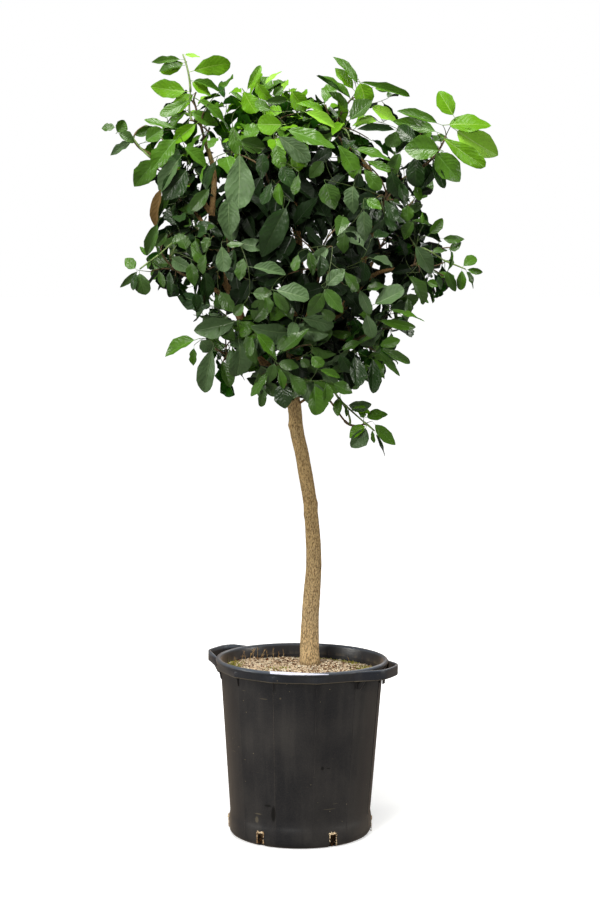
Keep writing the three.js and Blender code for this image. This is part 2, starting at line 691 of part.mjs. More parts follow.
// One mass of foliage: its twigs, and leaves along each twig that turn by the golden angle, with one at its
// tip. A leaf that would touch a limb or another leaf, or leave the space, is turned and shrunk or skipped.
function foliage(mass, bough, obstacles) {
  const random = seeded(seedOf(mass.name));
  const space = spaceOf(mass);
  const twigs = twigsOf(mass, space, bough, obstacles, random);
  const leaves = [];
  const leafAt = (root, way, angle, spread, length, sink) => {
    const side = squareTo(way, angle);
    const heading = way.clone().multiplyScalar(Math.cos(spread)).addScaledVector(side, Math.sin(spread));
    const outward = root.clone().sub(CROWN_HEART).normalize();
    heading.addScaledVector(outward, -LEAF_LIE * heading.dot(outward));
    heading.addScaledVector(UP, -mass.hang * (0.5 + 0.5 * random())).normalize();
    const facing = outward.addScaledVector(UP, 0.45).addScaledVector(side, 0.3 * (random() - 0.5));
    const leaf = leafBody(root, heading, facing, length, sink);
    const free = obstacles.every((obstacle) => apart(leaf.hull, obstacle, 2 * GAP));
    const alone = leaves.every((other) => apart(leaf.hull, other.hull, GAP));
    return free && alone && inSpace(space, leaf.outline, 2 * GAP) ? leaf : null;
  };
  for (const { curve, girth } of twigs) {
    const line = curve.getPoints(TWIG_STEPS);
    let angle = random() * 2 * Math.PI;
    for (let i = 0; i <= mass.leaves; i++) {
      const last = i === mass.leaves;
      const share = last ? 0.94 : 0.4 + (0.5 * i) / mass.leaves;
      const length = mass.leaf * (1 + 0.3 * random());
      const spread = last ? 0.15 : THREE.MathUtils.degToRad(50 + 20 * random());
      const sink = LEAF_SINK_SHARE * THREE.MathUtils.lerp(girth, TWIG_TIP_GIRTH, share);
      const step = Math.min(Math.floor(share * TWIG_STEPS), TWIG_STEPS - 1);
      const root = line[step].clone().lerp(line[step + 1], share * TWIG_STEPS - step);
      const way = curve.getTangent(share);
      for (const [turn, shrink] of LEAF_TRIES) {
        const leaf = leafAt(root, way, angle + turn, spread, length * shrink, sink);
        if (!leaf) continue;
        leaves.push(leaf);
        break;
      }
      angle += LEAF_TURN;
    }
  }
  const wood = twigs.map(({ curve, girth }, i) => {
    const line = curve.getPoints(TWIG_STEPS);
    const girths = line.map((_, step) => THREE.MathUtils.lerp(girth, TWIG_TIP_GIRTH, step / TWIG_STEPS));
    if (i > 0) girths[0] = TWIG_ROOT_GIRTH;
    return solidOf(limb(line, girths, 3));
  });
  const joined = [...wood, ...leaves.map((leaf) => leaf.solid)].reduce((whole, solid) => whole.add(solid));
  return geometryOf(largestBody(joined.subtract(bough.clearance)));
}

const tree = new THREE.Group();
function place(name, geometry, material, turn = 0) {
  const mesh = new THREE.Mesh(geometry, material);
  mesh.name = name;
  mesh.rotation.z = turn;
  tree.add(mesh);
}

place("pot", potBody(), plastic);
place("handle_right", geometryOf(handle(0)), plastic, HANDLE_TURN);
place("handle_left", geometryOf(handle(LEFT_HANDLE_LIFT)), plastic, HANDLE_TURN + Math.PI);
place("label", label(), blank);
place("soil", soil(), soilFinish);

// A limb's solid with a small gap all round it, for cutting what meets it.
function clearanceOf(part) {
  return solidOf(limb(part.line, part.girths, part.sides, GAP + 0.1));
}

const limbs = new Map();
const trunk = trunkLimb();
trunk.clearance = clearanceOf(trunk);
limbs.set(trunk.name, trunk);
place(trunk.name, geometryOf(trunkSolid(trunk)), bark);
for (const mass of CROWN) {
  const bough = boughLimb(mass, limbs);
  const whole = solidOf(limb(bough.line, bough.girths, bough.sides));
  const solid = [...limbs.values()].reduce((rest, other) => rest.subtract(other.clearance), whole);
  bough.clearance = clearanceOf(bough);
  limbs.set(bough.name, bough);
  place(bough.name, geometryOf(largestBody(solid)), bark);
}

const obstacles = [...limbs.values()].flatMap(sleevesOf);
for (const mass of CROWN) {
  place("leaves_" + mass.name, foliage(mass, limbs.get("bough_" + mass.name), obstacles), leafFinish);
}

export default tree;
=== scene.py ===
"""A potted key lime tree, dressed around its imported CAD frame.

Sizes are in metres in the frame's own axes, with +Z up and -Y towards the tree's front. The crown's plan is
in millimetres, as in the part's source, and is turned into metres when its meshes are made.
"""

import json
import logging
import math
from collections.abc import Callable
from dataclasses import dataclass, field
from enum import Enum
from functools import reduce

import bpy
import numpy as np
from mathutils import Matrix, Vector, noise

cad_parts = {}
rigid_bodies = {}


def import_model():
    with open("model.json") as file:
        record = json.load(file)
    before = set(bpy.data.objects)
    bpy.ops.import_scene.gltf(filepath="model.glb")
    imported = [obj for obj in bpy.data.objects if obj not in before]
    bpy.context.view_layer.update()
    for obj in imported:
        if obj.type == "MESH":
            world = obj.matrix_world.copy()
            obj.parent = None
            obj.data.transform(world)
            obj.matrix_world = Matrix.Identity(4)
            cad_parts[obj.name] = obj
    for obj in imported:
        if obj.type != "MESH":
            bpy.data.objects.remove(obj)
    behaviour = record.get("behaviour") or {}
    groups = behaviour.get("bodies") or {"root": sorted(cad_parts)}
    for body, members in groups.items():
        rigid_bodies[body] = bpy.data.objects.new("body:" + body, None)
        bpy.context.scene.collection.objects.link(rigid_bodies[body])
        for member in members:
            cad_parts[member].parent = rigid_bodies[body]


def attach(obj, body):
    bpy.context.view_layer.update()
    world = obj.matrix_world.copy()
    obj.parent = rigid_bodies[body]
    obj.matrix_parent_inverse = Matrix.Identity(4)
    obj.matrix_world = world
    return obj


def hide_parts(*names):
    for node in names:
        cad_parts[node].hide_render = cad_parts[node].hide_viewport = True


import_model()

Array = np.ndarray
Colour = tuple[float, float, float, float]
Draw = Callable[[], float]
Material = bpy.types.Material
Node = bpy.types.Node
Piece = bpy.types.Object
Socket = bpy.types.NodeSocket

LOG = logging.getLogger("lime_tree")
MM = 0.001
BODY = "root"
ORIGIN = (0.0, 0.0, 0.0)
UP = np.array([0.0, 0.0, 1.0])
FULL_TURN = 2 * math.pi
GOLDEN_TURN = math.radians(137.5)
WORD = 0xFFFFFFFF
SPRIG = "low_sprig"


# Colours and node building


def shade(red: float, green: float, blue: float) -> Colour:
    """A display colour of 0 to 255 per channel as a linear colour with full alpha."""
    shares = (red / 255, green / 255, blue / 255)
    return (*(part / 12.92 if part <= 0.04045 else ((part + 0.055) / 1.055) ** 2.4 for part in shares), 1.0)


def scaled(colour: Colour, share: float, lift: float = 0.0) -> Colour:
    """A linear colour times a share, lifted by a little and held at 1."""
    return (*(min(1.0, share * part + lift) for part in colour[:3]), 1.0)


class NodeBench:
    """Places shader nodes in one tree and wires them together."""

    def __init__(self, tree: bpy.types.NodeTree) -> None:
        """Keeps the tree that the nodes go into."""
        self.tree = tree

    def feed(self, node: Node, inputs: dict) -> Node:
        """Sets the values or wires on a node's inputs.

        Args:
            node: the node.
            inputs: input names or numbers, each with a value or with the output that feeds it.

        Returns:
            The same node.
        """
        for key, value in inputs.items():
            if isinstance(value, Socket):
                self.tree.links.new(value, node.inputs[key])
            else:
                node.inputs[key].default_value = value
        return node

    def put(self, kind: str, inputs: dict | None = None, **settings: object) -> Node:
        """Adds a node.

        Args:
            kind: the node's type, without its "ShaderNode" prefix.
            inputs: input names or numbers, each with a value or with the output that feeds it.
            settings: the node's own properties.

        Returns:
            The new node.
        """
        node = self.tree.nodes.new("ShaderNode" + kind)
        for name, value in settings.items():
            setattr(node, name, value)
        return self.feed(node, inputs or {})

    def group(self, name: str, inputs: dict) -> Node:
        """Adds a shared node group with its inputs, and returns its node."""
        return self.feed(self.put("Group", node_tree=bpy.data.node_groups[name]), inputs)

    def blend(self, factor: object, first: object, second: object) -> Socket:
        """Mixes the second colour over the first by a factor, and returns the output."""
        return self.put("Mix", {0: factor, 6: first, 7: second}, data_type="RGBA").outputs[2]

    def layers(self, colour: object, *coats: tuple) -> Socket:
        """Lays colours over a first one.

        Args:
            colour: the first colour.
            coats: each further one's mask and colour, from the lowest to the uppermost.

        Returns:
            The output of the uppermost.
        """
        for mask, coat in coats:
            colour = self.blend(mask, colour, coat)
        return colour

    def span(self, value: object, low: object, high: object, to_low: float = 0, to_high: float = 1) -> Socket:
        """Maps low and high to to_low and to_high, smoothly and clamped, and returns the output."""
        inputs = {"Value": value, "From Min": low, "From Max": high, "To Min": to_low, "To Max": to_high}
        return self.put("MapRange", inputs, interpolation_type="SMOOTHSTEP").outputs["Result"]

    def sum(self, first: object, second: object, operation: str = "ADD") -> Socket:
        """Joins two values by an arithmetic operation and returns its output."""
        return self.put("Math", {0: first, 1: second}, operation=operation).outputs[0]

    def times(self, first: object, second: object) -> Socket:
        """Multiplies two values and returns the output."""
        return self.sum(first, second, "MULTIPLY")

    def join(self, first: object, second: object, operation: str) -> Socket:
        """Joins two vectors by an operation and returns its output."""
        return self.put("VectorMath", {0: first, 1: second}, operation=operation).outputs[0]

    def place(self) -> Socket:
        """The place on the piece, in its own coordinates."""
        return self.put("TexCoord").outputs["Object"]

    def stretched(self, place: Socket, scale: tuple, turn: tuple = ORIGIN) -> Socket:
        """A place that is turned and stretched along its axes."""
        return self.put("Mapping", {"Vector": place, "Rotation": turn, "Scale": scale}).outputs[0]

    def height(self, place: Socket) -> Socket:
        """The height of a place."""
        return self.put("SeparateXYZ", {0: place}).outputs["Z"]

    def length(self, way: Socket) -> Socket:
        """The length of a vector."""
        return self.put("VectorMath", {0: way}, operation="LENGTH").outputs["Value"]

    def noise(self, place: Socket, scale: object, detail: object) -> Socket:
        """The value of a noise texture at a place."""
        return self.put("TexNoise", {"Vector": place, "Scale": scale, "Detail": detail}).outputs["Fac"]

    def stains(self, place: Socket, scale: float, detail: float, low: float, high: float) -> Socket:
        """Soft blotches: the shared group's mask, 0 where its noise is at low and 1 where it is at high."""
        inputs = {"Vector": place, "Scale": scale, "Detail": detail, "Low": low, "High": high}
        return self.group(SharedEffects.STAINS, inputs).outputs["Mask"]

    def bump(self, height: Socket, strength: float, distance: float) -> Socket:
        """The normal of a relief."""
        return self.put("Bump", {"Height": height, "Strength": strength, "Distance": distance}).outputs[0]


class SharedEffects:
    """The node groups that more than one finish or piece uses."""

    STAINS = "stains"
    SPECKS = "specks"
    SPOT = "spot"
    VEINS = "leaf_veins"

    @staticmethod
    def start(
        name: str, inputs: dict[str, object], outputs: tuple[str, ...] = ("Mask",)
    ) -> tuple[NodeBench, object, Node]:
        """Makes an empty node group with its named sockets.

        Args:
            name: the group's name.
            inputs: each input's name with its first value, a number or a vector.
            outputs: the names of the outputs, all of them single values.

        Returns:
            The bench of the group, the inputs' sockets by name, and the node of the outputs.
        """
        tree = bpy.data.node_groups.new(name, "ShaderNodeTree")
        for key, value in inputs.items():
            kind = "NodeSocketFloat" if isinstance(value, float) else "NodeSocketVector"
            tree.interface.new_socket(key, in_out="INPUT", socket_type=kind).default_value = value
        for key in outputs:
            tree.interface.new_socket(key, in_out="OUTPUT", socket_type="NodeSocketFloat")
        given = tree.nodes.new("NodeGroupInput").outputs
        return NodeBench(tree), given, tree.nodes.new("NodeGroupOutput")

    def stains(self) -> None:
        """Soft blotches: a noise between two levels."""
        inputs = {"Vector": ORIGIN, "Scale": 5.0, "Detail": 4.0, "Low": 0.4, "High": 0.6}
        bench, given, target = self.start(self.STAINS, inputs)
        cloud = bench.noise(given["Vector"], given["Scale"], given["Detail"])
        bench.feed(target, {"Mask": bench.span(cloud, given["Low"], given["High"])})

    def specks(self) -> None:
        """Small round specks: the cells of a Voronoi texture nearer to their middle than a reach."""
        bench, given, target = self.start(self.SPECKS, {"Vector": ORIGIN, "Scale": 50.0, "Reach": 0.2})
        cells = bench.put("TexVoronoi", {key: given[key] for key in ("Vector", "Scale")}).outputs["Distance"]
        limits = {"Value": cells, "From Min": given["Reach"], "From Max": bench.times(given["Reach"], 0.5)}
        bench.feed(target, {"Mask": bench.put("MapRange", limits).outputs["Result"]})

    def spot(self) -> None:
        """One soft-edged patch of an ellipsoid's shape round a place."""
        inputs = {"Vector": ORIGIN, "Centre": ORIGIN, "Reach": (0.01, 0.01, 0.01)}
        bench, given, target = self.start(self.SPOT, inputs)
        offset = bench.join(given["Vector"], given["Centre"], "SUBTRACT")
        share = bench.length(bench.join(offset, given["Reach"], "DIVIDE"))
        bench.feed(target, {"Mask": bench.span(share, 1.0, 0.55)})

    def veins(self) -> None:
        """A leaf's side veins, slanted from the rib, on a map with the rib along its middle."""
        inputs = {"Vector": ORIGIN, "Count": 9.0, "Slant": 0.7}
        bench, given, target = self.start(self.VEINS, inputs, ("Height", "Mask"))
        parts = bench.put("SeparateXYZ", {0: given["Vector"]}).outputs
        side = bench.sum(bench.sum(parts["Y"], 0.5, "SUBTRACT"), 0.0, "ABSOLUTE")
        warp = bench.times(bench.noise(given["Vector"], 5.0, 2.0), 0.22)
        phase = bench.sum(parts["X"], bench.sum(bench.times(side, given["Slant"]), warp), "SUBTRACT")
        wave = bench.sum(bench.times(bench.times(phase, given["Count"]), FULL_TURN), 0.0, "SINE")
        bulge = bench.sum(wave, 0.0, "ABSOLUTE")
        bench.feed(target, {"Height": bulge, "Mask": bench.span(bulge, 0.3, 0.0)})

    def build(self) -> None:
        """Makes all the shared groups."""
        for effect in (self.stains, self.specks, self.spot, self.veins):
            effect()


# Finishes


def new_material(name: str) -> tuple[Material, NodeBench, Node]:
    """Starts a node material.

    Args:
        name: the material's name.

    Returns:
        The material, its bench, and its Principled shader, wired to the output.
    """
    material = bpy.data.materials.new(name)
    material.use_nodes = True
    material.node_tree.nodes.clear()
    bench = NodeBench(material.node_tree)
    shader = bench.put("BsdfPrincipled")
    bench.put("OutputMaterial", {"Surface": shader.outputs[0]})
    return material, bench, shader


@dataclass(frozen=True)
class PlasticFinish:
    """Black moulded plastic with a film of dust, water streaks, specks of dirt and a few scuffs.

    It reads the place that each point had before the pot's lean. Marks are a centre and a reach, in metres.
    The rim's lighter bluish tint is a painted reflection, and the band along the top of the bead and
    the handles' top edges is a painted highlight.
    """

    name: str = "scuffed_black_plastic"
    plastic: Colour = shade(24, 25, 30)
    # painted reflection: a lighter bluish tint on the rim and bead
    rim: Colour = shade(34, 38, 47)
    # painted highlight: a pale bluish band along the bead's top and the handles' top edges
    painted_highlight: Colour = shade(104, 114, 128)
    dust: Colour = shade(96, 91, 86)
    fleck: Colour = shade(164, 150, 120)
    scum: Colour = shade(132, 120, 98)
    wet: Colour = shade(10, 10, 11)
    dark_marks: tuple = (
        ((0.0515, -0.180, 0.2000), (0.0045, 0.03, 0.0060)),
        ((0.0660, -0.178, 0.1990), (0.0065, 0.03, 0.0018)),
        ((-0.0650, -0.165, 0.0850), (0.0066, 0.04, 0.0240)),
        ((-0.0785, -0.160, 0.1040), (0.0100, 0.05, 0.0036)),
    )
    light_marks: tuple = (
        ((-0.1020, -0.145, 0.0800), (0.0100, 0.05, 0.0022)),
        ((-0.1050, -0.145, 0.0650), (0.0050, 0.05, 0.0100)),
        ((0.0690, -0.165, 0.0970), (0.0190, 0.05, 0.0009)),
        ((-0.0910, -0.170, 0.3660), (0.0120, 0.05, 0.0012)),
        ((-0.0510, -0.190, 0.3710), (0.0030, 0.05, 0.0030)),
    )

    def marks(self, bench: NodeBench, place: Socket, spots: tuple) -> Socket:
        """Joins spots into one mask.

        Args:
            bench: the bench of the material.
            place: the place on the piece.
            spots: each spot's centre and reach.

        Returns:
            The output of the mask.
        """
        whole = 0.0
        for centre, reach in spots:
            spot = bench.group(SharedEffects.SPOT, {"Vector": place, "Centre": centre, "Reach": reach})
            whole = bench.sum(spot.outputs["Mask"], whole, "MAXIMUM")
        return whole

    def build(self) -> Material:
        """Makes the material.

        Returns:
            The material.
        """
        material, bench, shader = new_material(self.name)
        times, span = bench.times, bench.span
        place = bench.put("Attribute", attribute_name="upright").outputs["Vector"]
        height = bench.height(place)
        radius = bench.length(bench.stretched(place, (1.0, 1.0, 0.0)))
        streaks = bench.stains(bench.stretched(place, (1.0, 1.0, 0.10)), 46.0, 5.0, 0.42, 0.72)
        film = bench.stains(place, 7.0, 7.0, 0.38, 0.74)
        grain = bench.noise(place, 420.0, 3.0)
        dusty = bench.sum(times(film, 0.17), times(streaks, 0.09))
        specks = {"Vector": place, "Scale": 46.0, "Reach": 0.055}
        flecks = bench.group(SharedEffects.SPECKS, specks).outputs["Mask"]
        sparse = times(bench.stains(place, 11.0, 2.0, 0.46, 0.56), 0.8)
        scratches = bench.noise(bench.stretched(place, (9.0, 9.0, 120.0), (0.3, 0.0, 0.5)), 3.0, 2.0)
        # the rim's region, which takes the painted bluish reflection
        lipped = span(height, 0.4075, 0.4095)
        inside = times(span(radius, 0.2004, 0.1998), span(height, 0.4088, 0.4096))
        scummed = bench.sum(times(times(span(height, 0.4200, 0.4080), streaks), 0.7), 0.03)
        lip = times(span(height, 0.4115, 0.4095), span(radius, 0.2030, 0.2045))
        light, dark = (self.marks(bench, place, spots) for spots in (self.light_marks, self.dark_marks))
        colour = bench.layers(
            self.plastic,
            # painted reflection: the rim's lighter bluish tint
            (lipped, self.rim),
            # painted highlight along the bead's top and the handles' top edges
            (times(span(height, 0.4285, 0.4350), 0.6), self.painted_highlight),
            (dusty, self.dust),
            (span(grain, 0.35, 0.75, 0.0, 0.12), self.dust),
            (times(flecks, sparse), self.fleck),
            (span(scratches, 0.72, 0.80, 0.0, 0.22), self.fleck),
            (times(inside, scummed), self.scum),
            (times(times(lip, span(height, 0.4080, 0.4090)), 0.35), self.fleck),
            (times(span(height, 0.075, 0.0, 0.0, 0.45), film), self.dust),
            (times(light, 0.2), self.fleck),
            (dark, self.wet),
        )
        dull = bench.sum(bench.sum(dusty, dark, "SUBTRACT"), times(lipped, 0.3), "SUBTRACT")
        inputs = {
            "Base Color": colour,
            "Roughness": span(dull, -0.4, 0.6, 0.28, 0.64),
            "Normal": bench.bump(bench.sum(times(grain, 0.5), streaks), 0.12, 0.0012),
            "Specular IOR Level": 0.40,
            "Sheen Weight": 0.52,
            "Sheen Roughness": 0.36,
            "Sheen Tint": shade(196, 172, 148),
        }
        bench.feed(shader, inputs)
        return material


@dataclass(frozen=True)
class BlankLabelFinish:
    """A smooth coated strip, white with a cool cast and faint dirt."""

    name: str = "blank_label"
    face: Colour = shade(224, 226, 248)
    dirt: Colour = shade(196, 190, 186)

    def build(self) -> Material:
        """Makes the material.

        Returns:
            The material.
        """
        material, bench, shader = new_material(self.name)
        dirt = bench.stains(bench.place(), 60.0, 4.0, 0.50, 0.75)
        colour = bench.blend(bench.times(dirt, 0.5), self.face, self.dirt)
        bench.feed(shader, {"Base Color": colour, "Roughness": bench.span(dirt, 0.0, 1.0, 0.35, 0.6)})
        return material


@dataclass(frozen=True)
class BarkFinish:
    """Tan bark with darker furrows along the limb, fine flecks, weathering, and a paler foot that is painted
    light.
    """

    name: str = "tan_bark"
    ridge: Colour = shade(200, 170, 120)
    furrow: Colour = shade(118, 90, 54)
    fleck: Colour = shade(44, 33, 20)
    weather: Colour = shade(164, 144, 106)
    # painted light: the paler foot, below the crown's shade
    pale: Colour = shade(242, 212, 164)
    green: Colour = shade(118, 144, 76)
    stretch: float = 0.36
    scale: float = 400.0
    green_from: float = 9.0

    def build(self) -> Material:
        """Makes the material.

        Returns:
            The material.
        """
        material, bench, shader = new_material(self.name)
        place = bench.place()
        height = bench.height(place)
        along = bench.stretched(place, (1.0, 1.0, self.stretch))
        furrows = bench.stains(along, self.scale, 6.0, 0.56, 0.38)
        flecks = bench.stains(along, self.scale * 1.5, 3.0, 0.58, 0.66)
        worn = bench.stains(place, 16.0, 5.0, 0.45, 0.70)
        colour = bench.layers(
            self.ridge,
            (bench.times(worn, 0.55), self.weather),
            # painted light: the trunk paler towards the soil, where the crown's shade ends
            (bench.span(height, 0.85, 0.45, 0.0, 0.6), self.pale),
            (bench.times(furrows, 0.72), self.furrow),
            (bench.times(flecks, 0.85), self.fleck),
            (bench.times(bench.span(height, 0.427, 0.412), 0.6), self.fleck),
            (bench.span(height, self.green_from, self.green_from + 0.12, 0.0, 0.75), self.green),
        )
        bump = bench.bump(bench.sum(furrows, bench.times(flecks, 0.6)), 0.7, -0.0012)
        inputs = {"Base Color": colour, "Roughness": 0.86, "Normal": bump, "Specular IOR Level": 0.25}
        bench.feed(shader, inputs)
        return material


@dataclass(frozen=True)
class ShootFinish:
    """The skin of a young shoot or a thin twig."""

    name: str
    skin: Colour
    spotted: Colour
    roughness: float = 0.5

    def build(self) -> Material:
        """Makes the material.

        Returns:
            The material.
        """
        material, bench, shader = new_material(self.name)
        mask = bench.stains(bench.place(), 160.0, 3.0, 0.45, 0.65)
        colour = bench.blend(mask, self.skin, self.spotted)
        bench.feed(shader, {"Base Color": colour, "Roughness": self.roughness})
        return material


@dataclass(frozen=True)
class LeafFinish:
    """A leathery leaf: glossy above with bulging fields between its veins, paler and dull below.
    The palest tone's back is lifted further by painted light shining through the leaf.
    """

    name: str
    blade: Colour
    under: Colour
    gloss: float
    coat: float
    bulge: float
    shine: float

    def build(self) -> Material:
        """Makes the material.

        Returns:
            The material.
        """
        material, bench, shader = new_material("leaf_" + self.name)
        place = bench.place()
        blade_map = bench.put("UVMap", uv_map="blade").outputs[0]
        veins = bench.group(SharedEffects.VEINS, {"Vector": blade_map, "Count": 3.4, "Slant": 0.6}).outputs
        mottle = bench.noise(place, 44.0, 3.0)
        colour = bench.layers(
            self.blade,
            (bench.span(mottle, 0.36, 0.66), scaled(self.blade, 0.5)),
            (bench.times(veins["Mask"], 0.22), scaled(self.blade, 1.35, 0.01)),
            # paler and dull below; on the palest tone partly painted light shining through
            (bench.put("NewGeometry").outputs["Backfacing"], self.under),
        )
        waves = bench.times(bench.noise(place, 46.0, 1.0), 1.5)
        relief = bench.sum(bench.times(veins["Height"], 0.24), waves)
        inputs = {
            "Base Color": colour,
            "Roughness": bench.span(mottle, 0.2, 0.8, self.gloss - 0.06, self.gloss + 0.1),
            "Normal": bench.bump(relief, self.bulge, 0.006),
            "Coat Weight": self.coat,
            "Coat Roughness": 0.2,
            "Specular IOR Level": self.shine,
        }
        bench.feed(shader, inputs)
        return material


@dataclass(frozen=True)
class RibFinish:
    """The pale midrib and stalk of a leaf."""

    name: str
    rib: Colour

    def build(self) -> Material:
        """Makes the material.

        Returns:
            The material.
        """
        material, bench, shader = new_material("rib_" + self.name)
        tint = bench.span(bench.noise(bench.place(), 60.0, 2.0), 0.4, 0.7)
        colour = bench.blend(tint, self.rib, scaled(self.rib, 0.75))
        bench.feed(shader, {"Base Color": colour, "Roughness": 0.45})
        return material


@dataclass(frozen=True)
class EarthFinish:
    """A matt ground material of two blended colours, for soil, grit, moss and dry stems."""

    name: str
    light: Colour
    dark: Colour
    scale: float = 90.0
    relief: float = 0.6

    def build(self) -> Material:
        """Makes the material.

        Returns:
            The material.
        """
        material, bench, shader = new_material(self.name)
        mask = bench.stains(bench.place(), self.scale, 6.0, 0.40, 0.64)
        inputs = {
            "Base Color": bench.blend(mask, self.light, self.dark),
            "Roughness": 0.92,
            "Normal": bench.bump(mask, self.relief, 0.001),
            "Specular IOR Level": 0.2,
        }
        bench.feed(shader, inputs)
        return material


class Tone(Enum):
    """The tones of the leaves, from the youngest to the oldest, and SHADED, which is painted shade."""

    PALE = "pale"
    YOUNG = "young"
    FRESH = "fresh"
    MIDDLE = "middle"
    DEEP = "deep"
    GREY = "grey"
    # painted shade: the dark tone of the leaves inside the crown
    SHADED = "shaded"
    SPENT = "spent"


# Each tone's blade above and below, its rib, and its gloss, coat, bulge and shine.
LEAF_LOOKS: dict[Tone, tuple] = {
    # PALE's underside is the leaf's paler back, lifted further as painted light shining through the leaf
    Tone.PALE: ((92, 150, 24), (136, 188, 58), (160, 200, 96), 0.4, 0.0, 0.25, 0.2),
    Tone.YOUNG: ((57, 113, 2), (96, 146, 24), (130, 172, 54), 0.34, 0.0, 0.3, 0.2),
    Tone.FRESH: ((35, 88, 5), (74, 115, 30), (92, 138, 50), 0.31, 0.04, 0.3, 0.36),
    Tone.MIDDLE: ((26, 66, 8), (62, 94, 34), (78, 112, 48), 0.32, 0.1, 0.32, 0.42),
    Tone.DEEP: ((12, 37, 7), (38, 64, 26), (56, 82, 38), 0.33, 0.1, 0.4, 0.44),
    Tone.GREY: ((58, 88, 50), (80, 106, 66), (104, 130, 82), 0.44, 0.0, 0.42, 0.3),
    # painted shade: a near-black green for the leaves inside the crown
    Tone.SHADED: ((11, 26, 6), (16, 32, 10), (24, 38, 16), 0.5, 0.0, 0.3, 0.12),
    Tone.SPENT: ((98, 84, 42), (112, 88, 50), (124, 98, 56), 0.6, 0.0, 0.4, 0.2),
}


def leaf_materials(tone: Tone) -> list[Material]:
    """Makes a tone's two materials.

    Args:
        tone: the tone.

    Returns:
        The material of the blades and that of the ribs.
    """
    blade, under, rib, *gloss = LEAF_LOOKS[tone]
    finish = LeafFinish(tone.value, shade(*blade), shade(*under), *gloss)
    return [finish.build(), RibFinish(tone.value, shade(*rib)).build()]


# Modelling helpers


